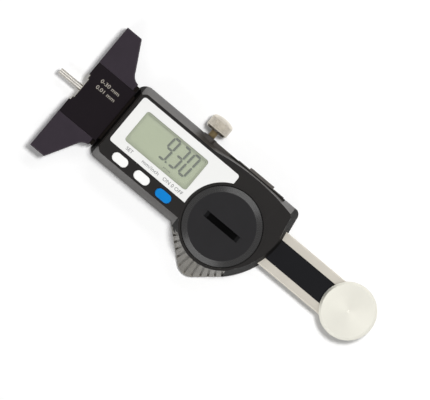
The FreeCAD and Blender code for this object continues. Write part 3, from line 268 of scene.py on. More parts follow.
# The bottom of the coin slot: rough and painted dead black, as painted shade deep in the recess.
CAP_SLOT_DEEP_PAINTED_SHADE = Finish("black_abs_slot_deep_painted_shade", "#060606", 0.7, mark_mm=0.2, relief_mm=0.01,
                  shade=0.8, specular=0.05)
# Polycarbonate sheet, glossy white with a trace of orange peel.
PANEL_WHITE = Finish("white_polycarbonate_gloss", "#ececea", 0.22, mark_mm=1.6, relief_mm=0.004,
                     shade=0.97, patch_mm=14.0, spread=0.03)
# Ink on the window's underside, matched to the display so that its edge is hardly seen.
WINDOW_BORDER = Finish("grey_green_ink_on_acrylic", "#989f89", 0.5, mark_mm=0.15, relief_mm=0.001,
                       shade=0.96, patch_mm=5.0, specular=0.2)
# Cast acrylic, polished: almost nothing to see but its reflection.
WINDOW_CLEAR = Finish("clear_acrylic_polished", "#eef2ea", 0.06, mark_mm=3.0, relief_mm=0.001,
                      shade=0.98, spread=0.02, alpha=0.1)
# Liquid crystal cell over its reflector: soft grey green with a very fine grain.
LCD = Finish("lcd_glass_on_reflector", "#a5ae8f", 0.28, mark_mm=0.12, relief_mm=0.002, shade=0.94,
             patch_mm=12.0, spread=0.04, coat=0.2)
# Switched segments of the cell: dark green grey, a little uneven.
SEGMENT = Finish("lcd_segment_switched", "#2a3424", 0.4, mark_mm=0.2, relief_mm=0.001, shade=0.88,
                 patch_mm=3.0)
# The shadow that a segment throws on the reflector below it.
SEGMENT_SHADE = Finish("lcd_segment_shade_on_reflector", "#8a9678", 0.4, mark_mm=0.2,
                       relief_mm=0.001, shade=0.94, patch_mm=3.0)
# Two-shot ABS keys, polished by the tool: glossy with soft reflections.
KEY_WHITE = Finish("white_abs_polished", "#f7f7f5", 0.2, mark_mm=1.2, relief_mm=0.003, shade=0.97,
                   patch_mm=5.0, spread=0.03)
KEY_BLUE = Finish("blue_abs_polished", "#007fce", 0.24, mark_mm=1.2, relief_mm=0.003, shade=0.93,
                  patch_mm=5.0, spread=0.03, specular=0.25)
# Screen printing ink on the white sheet: flat, a little uneven.
INK = Finish("grey_screen_ink_printed", "#6b6b6d", 0.55, mark_mm=0.15, relief_mm=0.002, shade=0.8,
             patch_mm=0.8)
# Pale ink on the black plate, as worn by handling.
PALE_INK = Finish("pale_pad_printed_ink", "#b7b1a6", 0.55, mark_mm=0.15, relief_mm=0.002, shade=0.72,
                  patch_mm=0.6)
# Stainless bar, surface ground along its length: warm and light with long fine lines.
BEAM_STEEL = Finish("stainless_steel_ground_lengthwise", "#e6e0d4", 0.34, metallic=1.0,
                    mark_mm=0.16, relief_mm=0.004, shade=0.9, patch_mm=16.0,
                    stretch=(45.0, 1.0, 1.0))
# Round stainless rod, centreless ground and polished: narrow bright highlights.
PIN_STEEL = Finish("stainless_steel_ground_round", "#c2beb7", 0.26, metallic=1.0, mark_mm=0.14,
                   relief_mm=0.003, shade=0.88, patch_mm=4.0, stretch=(1.0, 14.0, 14.0))
# Stainless disc faced on a lathe: rings too fine to see, whose gloss runs across them.
KNOB_STEEL = Finish("stainless_steel_face_turned", "#fbf9ee", 0.46, metallic=1.0,
                    marks=Marks.RINGS, mark_mm=0.55, relief_mm=0.003, shade=0.94, patch_mm=18.0,
                    spread=0.04, centre_mm=(131.1, 0.0, 0.0), anisotropy=0.3)
# The disc's rim, turned with a round tool: smoother than the face, ringed all round, and painted darker
# than the face as painted shade on the side.
KNOB_RIM_PAINTED_SHADE = Finish("stainless_steel_rim_painted_shade", "#b9b4a9", 0.28, metallic=1.0, mark_mm=0.35,
                  relief_mm=0.004, shade=0.86, patch_mm=12.0, stretch=(30.0, 30.0, 1.0))
# Brass with bright nickel, knurled before plating: glitters on every point.
NICKEL = Finish("nickel_plated_brass_knurled", "#ebe4d7", 0.26, metallic=1.0, mark_mm=0.4,
                relief_mm=0.004, shade=0.82, patch_mm=2.5)
# The screw's shank, where the nickel is thin and the brass shows through.
SHANK = Finish("nickel_plated_brass_worn", "#8d7c5b", 0.34, metallic=1.0, mark_mm=0.25,
               relief_mm=0.004, shade=0.7, patch_mm=1.8, stretch=(6.0, 1.0, 6.0))
# Polyester film over the scale, glossy black with faint long waves.
FILM = Finish("black_polyester_film_gloss", "#121215", 0.2, mark_mm=0.9, relief_mm=0.003,
              shade=0.85, spread=0.04, stretch=(5.0, 1.0, 1.0), specular=0.16)
# Steel screws, blackened and oiled: dark with lighter rubbed patches.
SCREW = Finish("carbon_steel_blackened", "#4c494a", 0.34, metallic=0.85, mark_mm=0.3,
               relief_mm=0.005, shade=0.62, patch_mm=1.4)
# Glass epoxy board under green solder mask, its copper tracks showing as paler lines.
BOARD = Finish("glass_epoxy_green_solder_mask", "#14502c", 0.3, marks=Marks.TRACES, mark_mm=1.1,
               relief_mm=0.02, shade=0.8, second_colour="#2d7a49", coat=0.2)
# Spring steel, punched and nickel plated.
PRESSED = Finish("nickel_plated_steel_pressed", "#c6c5c0", 0.3, metallic=1.0, mark_mm=0.3,
                 relief_mm=0.004, shade=0.84, patch_mm=3.0, stretch=(8.0, 1.0, 1.0))
# Brass strip as it leaves the rolls.
BRASS = Finish("brass_rolled", "#c19a4c", 0.33, metallic=1.0, mark_mm=0.2, relief_mm=0.004,
               shade=0.84, patch_mm=4.0, stretch=(20.0, 1.0, 1.0))
# Nitrile rubber, moulded: dull and very slightly dusty.
RUBBER = Finish("nitrile_rubber_moulded", "#1d1c1d", 0.72, mark_mm=0.25, relief_mm=0.01, shade=0.8)
# Conducting silicone in layers, which join the board to the glass.
ZEBRA = Finish("conducting_silicone_layered", "#d8a0a0", 0.6, marks=Marks.STRIPES, mark_mm=0.4,
               relief_mm=0.005, shade=0.9, second_colour="#242022")
# Plain grey ABS of the parts that nobody sees.
GREY_ABS = Finish("grey_abs_moulded", "#6f7072", 0.5, mark_mm=0.4, relief_mm=0.01, shade=0.9)

CARRIED = {
    "slide_frame": BLACKENED, "back_plate": BEAM_STEEL, "back_plate_screws": SCREW,
    "gib_strip": BRASS, "gib_screws": SCREW, "scale_board": BOARD, "pin_set_screw": SCREW,
    "travel_stop": PIN_STEEL, "lcd_glass": LCD, "lcd_holder": GREY_ABS, "zebra_strips": ZEBRA,
    "main_board": BOARD, "board_chip": RUBBER, "board_screws": SCREW, "switch_domes": PRESSED,
    "battery_cell": PRESSED, "contact_negative": PRESSED, "contact_positive": PRESSED,
    "cover_seal": RUBBER, "data_contacts": GREY_ABS, "lock_pad": BRASS,
}


class Workshop:
    """The operators that every piece is shaped with. Sizes are in millimetres."""

    @staticmethod
    def alone(piece: bpy.types.Object) -> bpy.types.Object:
        """Select one piece and nothing else.

        Args:
            piece: the piece to work on.

        Returns:
            The same piece, now active.
        """
        bpy.ops.object.select_all(action="DESELECT")
        piece.select_set(True)
        bpy.context.view_layer.objects.active = piece
        return piece

    @staticmethod
    @contextmanager
    def editing(piece: bpy.types.Object) -> Iterator[None]:
        """Hold a piece in edit mode, with all of it selected at first.

        Args:
            piece: the piece to shape.
        """
        Workshop.alone(piece)
        bpy.ops.object.mode_set(mode="EDIT")
        bpy.ops.mesh.select_mode(type="VERT")
        bpy.ops.mesh.select_all(action="SELECT")
        yield
        bpy.ops.object.mode_set(mode="OBJECT")

    @staticmethod
    def pick(piece: bpy.types.Object, kind: str, test: Callable[[Any], bool]) -> None:
        """Select the parts of a mesh that pass a test, in edit mode.

        Args:
            piece: the piece in edit mode.
            kind: "VERT", "EDGE" or "FACE".
            test: takes the vertex, edge or face, with places in metres.
        """
        bpy.ops.mesh.select_mode(type=kind)
        bpy.ops.mesh.select_all(action="DESELECT")
        mesh = bmesh.from_edit_mesh(piece.data)
        parts = {"VERT": mesh.verts, "EDGE": mesh.edges, "FACE": mesh.faces}[kind]
        for part in parts:
            if test(part):
                part.select_set(True)
        mesh.select_flush_mode()
        bmesh.update_edit_mesh(piece.data)

    @staticmethod
    def named(piece: bpy.types.Object, name: str) -> bpy.types.Object:
        """Give a piece and its mesh one name."""
        piece.name = name
        piece.data.name = name
        return piece

    @staticmethod
    def blank(
        kind: str,
        name: str,
        place: Point = ORIGIN,
        scale: Point = (1.0, 1.0, 1.0),
        **settings: Any,
    ) -> bpy.types.Object:
        """Add a primitive at its size and place.

        Args:
            kind: the primitive, such as "cube" or "cylinder".
            name: name of the new piece.
            place: its middle.
            scale: its stretch along each axis.
            settings: the primitive's own sizes.

        Returns:
            The new piece.
        """
        bpy.ops.object.select_all(action="DESELECT")
        add = getattr(bpy.ops.mesh, f"primitive_{kind}_add")
        add(location=[part * MM for part in place], scale=scale, **settings)
        piece = Workshop.named(bpy.context.object, name)
        Workshop.settle(piece)
        return piece

    @staticmethod
    def settle(piece: bpy.types.Object) -> None:
        """Put a piece's place, turn and scale into its mesh."""
        Workshop.alone(piece)
        bpy.ops.object.transform_apply(location=True, rotation=True, scale=True)

    @staticmethod
    def modify(piece: bpy.types.Object, kind: str, **settings: Any) -> None:
        """Give a piece a modifier and apply it.

        Args:
            piece: the piece to change.
            kind: Blender's name of the modifier.
            settings: the modifier's own properties.
        """
        Workshop.alone(piece)
        modifier = piece.modifiers.new(kind.lower(), kind)
        for key, value in settings.items():
            setattr(modifier, key, value)
        bpy.ops.object.modifier_apply(modifier=modifier.name)

    @staticmethod
    def cut(piece: bpy.types.Object, cutter: bpy.types.Object) -> None:
        """Take one piece's volume out of another, and remove the cutter."""
        Workshop.modify(piece, "BOOLEAN", object=cutter, operation="DIFFERENCE", solver="EXACT")
        bpy.data.objects.remove(cutter)

    @staticmethod
    def join(pieces: Sequence[bpy.types.Object], name: str) -> bpy.types.Object:
        """Make one piece of several.

        Args:
            pieces: what is joined; the first one stays.
            name: name of the result.

        Returns:
            The joined piece.
        """
        Workshop.alone(pieces[0])
        for piece in pieces[1:]:
            piece.select_set(True)
        bpy.ops.object.join()
        return Workshop.named(pieces[0], name)

    @staticmethod
    def lathe(name: str, profile: Sequence[tuple[float, float]], steps: int = 96) -> bpy.types.Object:
        """Turn a profile about the Z axis, closing its seam and poles.

        Args:
            name: name of the new piece.
            profile: radius and height of each point, from one pole to the other.
            steps: flats round the piece.

        Returns:
            The turned piece, still about the origin.
        """
        piece = Workshop.blank("plane", name, size=MM)
        with Workshop.editing(piece):
            bpy.ops.mesh.merge(type="CENTER")
            radius, height = profile[0]
            bpy.ops.transform.translate(value=(radius * MM, 0, height * MM))
            for (radius, height), (next_radius, next_height) in zip(profile, profile[1:]):
                step = ((next_radius - radius) * MM, 0, (next_height - height) * MM)
                bpy.ops.mesh.extrude_vertices_move(TRANSFORM_OT_translate={"value": step})
            bpy.ops.mesh.select_all(action="SELECT")
            bpy.ops.mesh.spin(steps=steps, angle=FULL_TURN, center=(0, 0, 0), axis=(0, 0, 1))
            bpy.ops.mesh.select_all(action="SELECT")
            bpy.ops.mesh.remove_doubles(threshold=TOUCH)
            bpy.ops.mesh.normals_make_consistent(inside=False)
        return piece

    @staticmethod
    def place(piece: bpy.types.Object, spot: Point, turn_deg: Point = (0.0, 0.0, 0.0)) -> None:
        """Turn a piece and set it down, with its place in its mesh.

        Args:
            piece: the piece, about the origin.
            spot: where its origin goes.
            turn_deg: its turn about each axis.
        """
        piece.rotation_euler = [math.radians(angle) for angle in turn_deg]
        piece.location = [part * MM for part in spot]
        Workshop.settle(piece)

    @staticmethod
    def copy_of_node(node: str, name: str) -> bpy.types.Object:
        """Copy a CAD node's mesh, merge its loose triangles and join its flat ones.

        Args:
            node: the node.
            name: name of the copy.

        Returns:
            The copy, as a closed mesh.
        """
        piece = Workshop.named(new_object(name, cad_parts[node].data.copy()), name)
        piece.data.materials.clear()
        Workshop.alone(piece)
        bpy.ops.mesh.customdata_custom_splitnormals_clear()
        with Workshop.editing(piece):
            bpy.ops.mesh.remove_doubles(threshold=TOUCH)
            bpy.ops.mesh.dissolve_limited(angle_limit=math.radians(FLAT_DEG))
        return piece

    @staticmethod
    def soften(piece: bpy.types.Object, width: float, segments: int = 2, edge_slot: int = -1) -> None:
        """Round a piece's sharp edges and smooth its shading.

        Args:
            piece: the piece to dress.
            width: how far each edge is taken back.
            segments: steps of each rounding.
            edge_slot: material slot of the roundings, or -1 for that of the faces beside them.
        """
        Workshop.modify(piece, "BEVEL", width=width * MM, segments=segments, limit_method="ANGLE",
                        angle_limit=math.radians(CORNER_DEG), use_clamp_overlap=True,
                        material=edge_slot)
        Workshop.smooth(piece)

    @staticmethod
    def smooth(piece: bpy.types.Object, angle_deg: float = 34.0) -> None:
        """Smooth a piece's shading, but for its sharp edges and flat faces.

        Args:
            piece: the piece to shade.
            angle_deg: edges that turn more than this stay sharp.
        """
        Workshop.alone(piece)
        bpy.ops.object.shade_smooth_by_angle(angle=math.radians(angle_deg))
        Workshop.modify(piece, "WEIGHTED_NORMAL", keep_sharp=True, weight=60)

    @staticmethod
    def dress(piece: bpy.types.Object, *finishes: Finish) -> bpy.types.Object:
        """Give a piece its materials.

        Args:
            piece: the piece to dress.
            finishes: one for each slot, in order.

        Returns:
            The same piece.
        """
        piece.data.materials.clear()
        for finish in finishes:
            piece.data.materials.append(finish.build())
        return piece

    @staticmethod
    def paint(piece: bpy.types.Object, index: int, test: Callable[[Any], bool]) -> None:
        """Give the faces that pass a test another material slot.

        Args:
            piece: the dressed piece.
            index: the slot.
            test: takes a face, with places in metres.
        """
        with Workshop.editing(piece):
            Workshop.pick(piece, "FACE", test)
            piece.active_material_index = index
            bpy.ops.object.material_slot_assign()

    @staticmethod
    def fit(piece: bpy.types.Object, body: str, slot: str, *nodes: str) -> bpy.types.Object:
        """Let a piece ride on its body and stand for its nodes.

        Args:
            piece: the finished piece.
            body: the CAD body that it moves with.
            slot: the record's material slot; not used.
            nodes: CAD nodes that it replaces.

        Returns:
            The same piece.
        """
        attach(piece, body)
        if nodes:
            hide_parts(*nodes)
        LOG.info("%s: %d faces on %s", piece.name, len(piece.data.polygons), body)
        return piece


@dataclass
class SoftenedNode:
    """A CAD node whose sharp edges are rounded as the real one's are."""

    node: str
    name: str
    body: str
    slot: str
    finish: Finish
    edge: float
    segments: int = 2
    edge_finish: Finish | None = None

    def build(self) -> bpy.types.Object:
        """Copy the node, round it and dress it.

        Returns:
            The finished piece.
        """
        piece = Workshop.copy_of_node(self.node, self.name)
        finishes = [self.finish] + ([self.edge_finish] if self.edge_finish else [])
        Workshop.dress(piece, *finishes)
        Workshop.soften(piece, self.edge, self.segments, 1 if self.edge_finish else -1)
        return Workshop.fit(piece, self.body, self.slot, self.node)


@dataclass
class ScrewGroup:
    """Countersunk screws with a cross recess, heads down. The level is that of their heads."""

    node: str
    name: str
    body: str
    spots: tuple[tuple[float, float], ...]
    level: float
    head: float
    shank: float
    length: float
    recess_share: float = 0.62
    blade_share: float = 0.17
    rim: float = 0.08
    recess_turn_deg: float = 22.0

    def one(self) -> bpy.types.Object:
        """Turn one screw and press the cross into its head.

        Returns:
            The screw, about the origin.
        """
        cone, rim = (self.head - self.shank) / 2, self.rim
        profile = [(0.0, 0.0), (self.head / 2 - rim, 0.0), (self.head / 2, rim),
                   (self.shank / 2, cone), (self.shank / 2, self.length - rim),
                   (self.shank / 2 - rim, self.length), (0.0, self.length)]
        screw = Workshop.lathe(self.name, profile, steps=40)
        for across in (0.0, 90.0):
            size = self.head * self.recess_share
            scale = (size, self.head * self.blade_share, cone * 1.6)
            blade = Workshop.blank("cube", "blade", scale=scale, size=MM)
            with Workshop.editing(blade):
                Workshop.pick(blade, "FACE", lambda face: face.normal.z > 0.9)
                bpy.ops.transform.resize(value=(0.35, 0.7, 1.0), center_override=ORIGIN)
            Workshop.place(blade, ORIGIN, (0.0, 0.0, across + self.recess_turn_deg))
            Workshop.cut(screw, blade)
        return screw

    def build(self) -> bpy.types.Object:
        """Copy the screw to each hole and dress the group.

        Returns:
            The finished group.
        """
        first = self.one()
        group = []
        for x, y in self.spots:
            screw = new_object(self.name, first.data.copy())
            Workshop.place(screw, (x, y, self.level))
            group.append(screw)
        bpy.data.objects.remove(first)
        piece = Workshop.join(group, self.name)
        Workshop.dress(piece, SCREW)
        Workshop.smooth(piece)
        return Workshop.fit(piece, self.body, "steel", self.node)


@dataclass
class Bridge:
    """The measuring bridge, its cover plate and the screws from below."""

    corner: float = 0.14
    plate_corner: float = 0.12
    screw_x: float = 11.5
    screw_y: float = 6.0
    screw_head: float = 4.6
    screw_shank: float = 2.4
    screw_length: float = 8.15
    ground: float = -4.85
    notch_half: float = 5.7
    notch_floor: float = 1.15
    slack: float = 0.1

    def build(self) -> None:
        """Build the bridge's pieces in order."""
        bar = SoftenedNode("bridge", "bridge_bar", "case", "black_anodised", ANODISED, self.corner,
                           edge_finish=ANODISED_EDGE).build()
        plate = SoftenedNode("bridge_cover", "bridge_plate", "case", "black_anodised", LACQUER,
                             self.plate_corner, edge_finish=LACQUER).build()

        def milled(face: Any) -> bool:
            """Whether a face lies in the notch, where milling has cut through the black."""
            spot = middle_of(face)
            inside = spot.x < self.notch_floor + self.slack and face.normal.z < 0.97
            return inside and abs(spot.y) < self.notch_half + self.slack

        for piece in (bar, plate):
            piece.data.materials.append(BARE_STEEL.build())
            Workshop.paint(piece, 2, milled)
        spots = ((self.screw_x, self.screw_y), (self.screw_x, -self.screw_y))
        ScrewGroup("bridge_screws", "bridge_screw_pair", "case", spots, self.ground,
                   self.screw_head, self.screw_shank, self.screw_length).build()


@dataclass
class Slider:
    """The beam with its film, the measuring pin and the turned thumb knob."""

    pin_radius: float = 1.2
    pin_reach: float = 9.3
    pin_length: float = 58.28
    pin_edge: float = 0.15
    knob_x: float = 131.1
    knob_radius: float = 11.0
    knob_low: float = -3.0
    knob_high: float = 4.5
    knob_bevel: float = 1.0
    knob_low_bevel: float = 0.6
    ring_pitch: float = 0.45
    ring_depth: float = 0.012
    dimple_radius: float = 0.5
    dimple_depth: float = 0.25
    slot_half: float = 8.05
    slot_rise: float = 1.8
    slot_end: float = 6.45
    knob_soft: float = 0.12
    screw_head: float = 5.4
    screw_shank: float = 2.9
    screw_length: float = 6.3
    beam_edge: float = 0.06
    film_edge: float = 0.04

    def pin(self) -> bpy.types.Object:
        """Turn the pin, with its flat end and broken edge.

        Returns:
            The finished pin.
        """
        radius, edge = self.pin_radius, self.pin_edge
        profile = [(0.0, 0.0), (radius - edge, 0.0), (radius - edge * 0.3, edge * 0.3),
                   (radius, edge), (radius, self.pin_length - edge),
                   (radius - edge, self.pin_length), (0.0, self.pin_length)]
        piece = Workshop.lathe("pin_rod", profile, steps=48)
        Workshop.place(piece, (-self.pin_reach, 0.0, 0.0), (0.0, 90.0, 0.0))
        Workshop.dress(piece, PIN_STEEL)
        Workshop.smooth(piece)
        return Workshop.fit(piece, "slider", "steel", "measuring_pin")

    def knob_profile(self) -> list[tuple[float, float]]:
        """Points of the knob's half section, with the rings that facing leaves.

        Returns:
            Radius and height of each point, from below the middle to above it.
        """
        radius, low, high = self.knob_radius, self.knob_low, self.knob_high
        foot, bevel, soft = self.knob_low_bevel, self.knob_bevel, self.knob_soft
        profile = [(0.0, low), (radius - foot, low), (radius, low + foot),
                   (radius, high - bevel - soft), (radius - soft * 0.3, high - bevel + soft * 0.4),
                   (radius - bevel + soft * 0.4, high - soft * 0.3), (radius - bevel - soft, high)]
        ring = radius - bevel - soft
        while ring - self.ring_pitch > self.dimple_radius * 2:
            profile.append((ring - self.ring_pitch / 2, high - self.ring_depth))
            profile.append((ring - self.ring_pitch, high))
            ring -= self.ring_pitch
        return profile + [(self.dimple_radius, high), (0.0, high - self.dimple_depth)]

    def knob(self) -> bpy.types.Object:
        """Turn the knob and cut the beam's slot and the screw's seat.

        Returns:
            The finished knob.
        """
        piece = Workshop.lathe("knob_disc", self.knob_profile(), steps=128)
        Workshop.place(piece, (self.knob_x, 0.0, 0.0))
        reach = self.knob_radius + self.slot_end + 1.0
        middle = self.knob_x + self.slot_end - reach / 2
        slot = Workshop.blank("cube", "slot", (middle, 0.0, 0.0), size=MM,
                              scale=(reach, self.slot_half * 2, self.slot_rise * 2))
        Workshop.cut(piece, slot)
        depth = (self.screw_head - self.screw_shank) / 2 + 0.05
        seat = Workshop.blank("cone", "seat", (self.knob_x, 0.0, self.knob_low + depth / 2 - 0.01),
                              vertices=48, radius1=(self.screw_head / 2 + 0.06) * MM,
                              radius2=(self.screw_shank / 2 + 0.05) * MM, depth=depth * MM)
        Workshop.cut(piece, seat)
        Workshop.dress(piece, KNOB_STEEL, KNOB_RIM_PAINTED_SHADE)
        # Painted shade: the rim round the side is painted darker than the face.
        Workshop.paint(piece, 1, lambda face: abs(face.normal.z) < 0.5)
        Workshop.smooth(piece, angle_deg=20.0)
        return Workshop.fit(piece, "slider", "polished_steel", "end_knob")

    def build(self) -> None:
        """Build the slider's pieces in order."""
        SoftenedNode("beam", "beam_bar", "slider", "steel", BEAM_STEEL, self.beam_edge).build()
        SoftenedNode("scale_film", "scale_strip", "slider", "black_film", FILM,
                     self.film_edge).build()
        self.pin()
        self.knob()
        ScrewGroup("knob_screw", "knob_fixing", "slider", ((self.knob_x, 0.0),), self.knob_low,
                   self.screw_head, self.screw_shank, self.screw_length).build()


@dataclass
class Housing:
    """The moulded case: shell, rear cover, white panel, window, the dark strip of painted shade in the
    seam, battery cap, port cover.
    """

    shell_edge: float = 0.3
    back_edge: float = 0.1
    panel_edge: float = 0.09
    window_edge: float = 0.06
    cap_x: float = 74.7
    cap_y: float = -6.0
    cap_low: float = 8.1
    cap_high: float = 10.0
    cap_radius: float = 15.25
    cap_face: float = 12.9
    cap_rim: float = 1.0
    cap_edge: float = 0.16
    cap_corner_deg: float = 18.0
    neck_radius: float = 12.8
    neck_low: float = 5.4
    neck_inner: float = 11.0
    neck_floor: float = 7.15
    slot_length: float = 17.6
    slot_width: float = 2.6
    slot_depth: float = 1.9
    # Depths below the cap's face at which the coin slot's painted shade begins and deepens.
    slot_shade_depth: float = 0.35
    slot_deep_shade_depth: float = 0.8
    window_start: float = 25.9
    window_end: float = 55.6
    window_low: float = -4.5
    window_high: float = 9.5
    window_floor: float = 8.7
    border: float = 0.74
    border_round: float = 1.3
    border_ink: float = 0.02
    border_drop: float = 0.05
    steep: float = 0.55
    rim: float = 9.0
    ground: float = -4.85
    flank_start: float = 19.7
    flank_end: float = 91.4
    skirt_y: float = -18.2
    skirt_start: float = 60.0
    skirt_end: float = 86.3
    boss_x: float = 50.0
    boss_y: float = 13.7
    boss_half: float = 9.0
    # Place, size and rounding of the dark strip of painted shade in the seam to the bridge.
    strip_x: float = 17.75
    strip_z: float = -2.5
    strip_size: Point = (0.7, 27.2, 1.2)
    strip_round: float = 0.25
    screw_spots: tuple[tuple[float, float], ...] = ((21.6, 12.2), (21.6, -12.2), (91.2, 12.4),
                                                    (74.7, -23.2))
    screw_head: float = 3.7
    screw_shank: float = 1.9
    screw_length: float = 5.6
    grip_grooves: int = 7
    grip_pitch: float = 1.4
    grip_middle: float = 74.65
    grip_face: float = 17.95
    grip_low: float = -1.0
    grip_high: float = 1.4
    grip_groove: float = 1.7
    grip_groove_radius: float = 0.4
    grip_groove_out: float = 0.2
    grip_edge: float = 0.08

    def battery_cap(self) -> bpy.types.Object:
        """Turn the cap, cut its coin slot and round its edges.

        Returns:
            The finished cap.
        """
        flank = self.cap_low + self.cap_rim
        profile = [(0.0, self.neck_floor), (self.neck_inner, self.neck_floor),
                   (self.neck_inner, self.neck_low), (self.neck_radius, self.neck_low),
                   (self.neck_radius, self.cap_low), (self.cap_radius, self.cap_low),
                   (self.cap_radius, flank), (self.cap_face, self.cap_high), (0.0, self.cap_high)]
        piece = Workshop.lathe("battery_cap_turned", profile, steps=128)
        Workshop.place(piece, (self.cap_x, self.cap_y, 0.0))
        half = self.slot_length / 2
        radius = (half ** 2 + self.slot_depth ** 2) / (2 * self.slot_depth)
        disc = Workshop.blank("cylinder", "coin_slot", vertices=200, radius=radius * MM,
                              depth=self.slot_width * MM)
        level = self.cap_high - self.slot_depth + radius
        Workshop.place(disc, (self.cap_x, self.cap_y, level), (90.0, 0.0, 0.0))
        Workshop.cut(piece, disc)
        with Workshop.editing(piece):
            bpy.ops.mesh.dissolve_limited(angle_limit=math.radians(FLAT_DEG))
        Workshop.dress(piece, CAP_ABS, CAP_BEVEL, CAP_SLOT_UPPER_PAINTED_SHADE, CAP_SLOT_DEEP_PAINTED_SHADE)

        def in_slot(face: Any, depth: float) -> bool:
            """Whether a face is in the coin slot, deeper than a depth."""
            spot = middle_of(face)
            across = abs(spot.y - self.cap_y) < self.slot_width / 2 + 0.01
            inside = self.neck_floor + 0.1 < spot.z < self.cap_high - depth
            return across and inside and abs(spot.x - self.cap_x) < half

        def on_bevel(face: Any) -> bool:
            """Whether a face is on the bevel round the cap's face."""
            spot = middle_of(face)
            out = math.hypot(spot.x - self.cap_x, spot.y - self.cap_y)
            return out > self.cap_face and face.normal.z > 0.5

        Workshop.paint(piece, 1, on_bevel)
        # Painted shade: the coin slot is painted darker below its upper edge and darkest at its bottom.
        Workshop.paint(piece, 2, lambda face: in_slot(face, self.slot_shade_depth))
        Workshop.paint(piece, 3, lambda face: in_slot(face, self.slot_deep_shade_depth))
        Workshop.modify(piece, "BEVEL", width=self.cap_edge * MM, segments=3,
                        limit_method="ANGLE", angle_limit=math.radians(self.cap_corner_deg),
                        use_clamp_overlap=True)
        Workshop.smooth(piece)
        return Workshop.fit(piece, "battery_cap", "black_plastic", "battery_cover")

    @staticmethod
    def score(piece: bpy.types.Object, spot: Point, normal: Point) -> None:
        """Cut a piece's faces along a plane, so that each side can have its own finish."""
        with Workshop.editing(piece):
            bpy.ops.mesh.bisect(plane_co=[part * MM for part in spot], plane_no=normal)

    def on_skirt(self, face: Any) -> bool:
        """Whether a face is on the thumb skirt, above the underside and below the rim.

        Args:
            face: the face.

        Returns:
            True for a face of the skirt.
        """
        spot = middle_of(face)
        level = self.ground + 0.2 < spot.z < self.rim
        return level and spot.y < self.skirt_y and self.skirt_start < spot.x < self.skirt_end

    def back(self) -> bpy.types.Object:
        """Round the rear cover, whose rim under the skirt is painted light grey as the skirt is, as
        painted light.

        Returns:
            The finished cover.
        """
        piece = SoftenedNode("rear_cover", "case_back", "case", "black_plastic", HOUSING_ABS,
                             self.back_edge).build()
        Workshop.dress(piece, HOUSING_ABS, HOUSING_SKIRT_PAINTED_LIGHT)
        self.score(piece, (0.0, self.skirt_y, 0.0), (0, 1, 0))
        for x in (self.skirt_start, self.skirt_end):
            self.score(piece, (x, 0.0, 0.0), (1, 0, 0))
        # Painted light: the rim under the skirt takes the skirt's light grey finish.
        Workshop.paint(piece, 1, self.on_skirt)
        return piece

    def front(self) -> bpy.types.Object:
        """Round the front shell; paint its flanks and skirt lighter as painted light, and its ends
        darker as painted shade.

        Returns:
            The finished shell.
        """
        piece = SoftenedNode("front_shell", "case_front", "case", "black_plastic", HOUSING_ABS,
                             self.shell_edge, 3).build()
        Workshop.dress(piece, HOUSING_ABS, HOUSING_FLANK_PAINTED_LIGHT, HOUSING_SKIRT_PAINTED_LIGHT, HOUSING_END_PAINTED_SHADE)
        for x in (self.flank_start, self.skirt_start, self.skirt_end, self.flank_end):
            self.score(piece, (x, 0.0, 0.0), (1, 0, 0))

        def steep(face: Any) -> bool:
            """Whether a face is on a side wall, below the rim."""
            return abs(face.normal.z) < self.steep and middle_of(face).z < self.rim

        def on_flank(face: Any) -> bool:
            """Whether a face is on one of the long flanks."""
            spot = middle_of(face)
            end = self.flank_end if spot.y > 0 else self.skirt_start
            return steep(face) and self.flank_start < spot.x < end

        def on_boss(face: Any) -> bool:
            """Whether a face is on the boss that carries the clamping screw."""
            spot = middle_of(face)
            return spot.y > self.boss_y and abs(spot.x - self.boss_x) < self.boss_half

        # Painted shade: every steep wall below the rim starts with the darker end finish.
        Workshop.paint(piece, 3, steep)
        # Painted light: the long flanks and the screw's boss get the greyer flank finish.
        Workshop.paint(piece, 1, on_flank)
        Workshop.paint(piece, 1, on_boss)
        # Painted light: the thumb skirt gets its light grey finish.
        Workshop.paint(piece, 2, self.on_skirt)
        return piece

    def seam_shade_strip(self) -> bpy.types.Object:
        """Shape a dark strip under the front edge, put into the seam to the bridge as painted shade.

        Returns:
            The finished strip.
        """
        piece = Workshop.blank("cube", "seam_shade_strip", (self.strip_x, 0.0, self.strip_z),
                               self.strip_size, size=MM)
        limit = self.strip_x * MM
        with Workshop.editing(piece):
            Workshop.pick(piece, "EDGE", lambda edge: all(part.co.x < limit for part in edge.verts))
            bpy.ops.mesh.bevel(offset=self.strip_round * MM, segments=3)
        # Painted shade: the strip is dark rubber, standing where the seam to the bridge lies in shadow.
        Workshop.dress(piece, RUBBER)
        Workshop.smooth(piece)
        return Workshop.fit(piece, "case", "rubber")

    def window_border(self) -> bpy.types.Object:
        """Print the border on the window's underside: a sheet, inset, opened and thickened.

        Returns:
            The finished border.
        """
        length, width = self.window_end - self.window_start, self.window_high - self.window_low
        spot = ((self.window_start + self.window_end) / 2, (self.window_low + self.window_high) / 2,
                self.window_floor + self.border_drop)
        centre = [part * MM for part in spot]
        piece = Workshop.blank("plane", "window_border", spot, size=MM)
        with Workshop.editing(piece):
            bpy.ops.transform.resize(value=(length, width, 1.0), center_override=centre)
            bpy.ops.mesh.bevel(offset=self.border_round * MM, segments=6, affect="VERTICES")
            bpy.ops.mesh.select_mode(type="FACE")
            bpy.ops.mesh.select_all(action="SELECT")
            bpy.ops.mesh.inset(thickness=self.border * MM)
            bpy.ops.mesh.delete(type="FACE")
        Workshop.modify(piece, "SOLIDIFY", thickness=self.border_ink * MM)
        Workshop.dress(piece, WINDOW_BORDER)
        return Workshop.fit(piece, "case", "display")

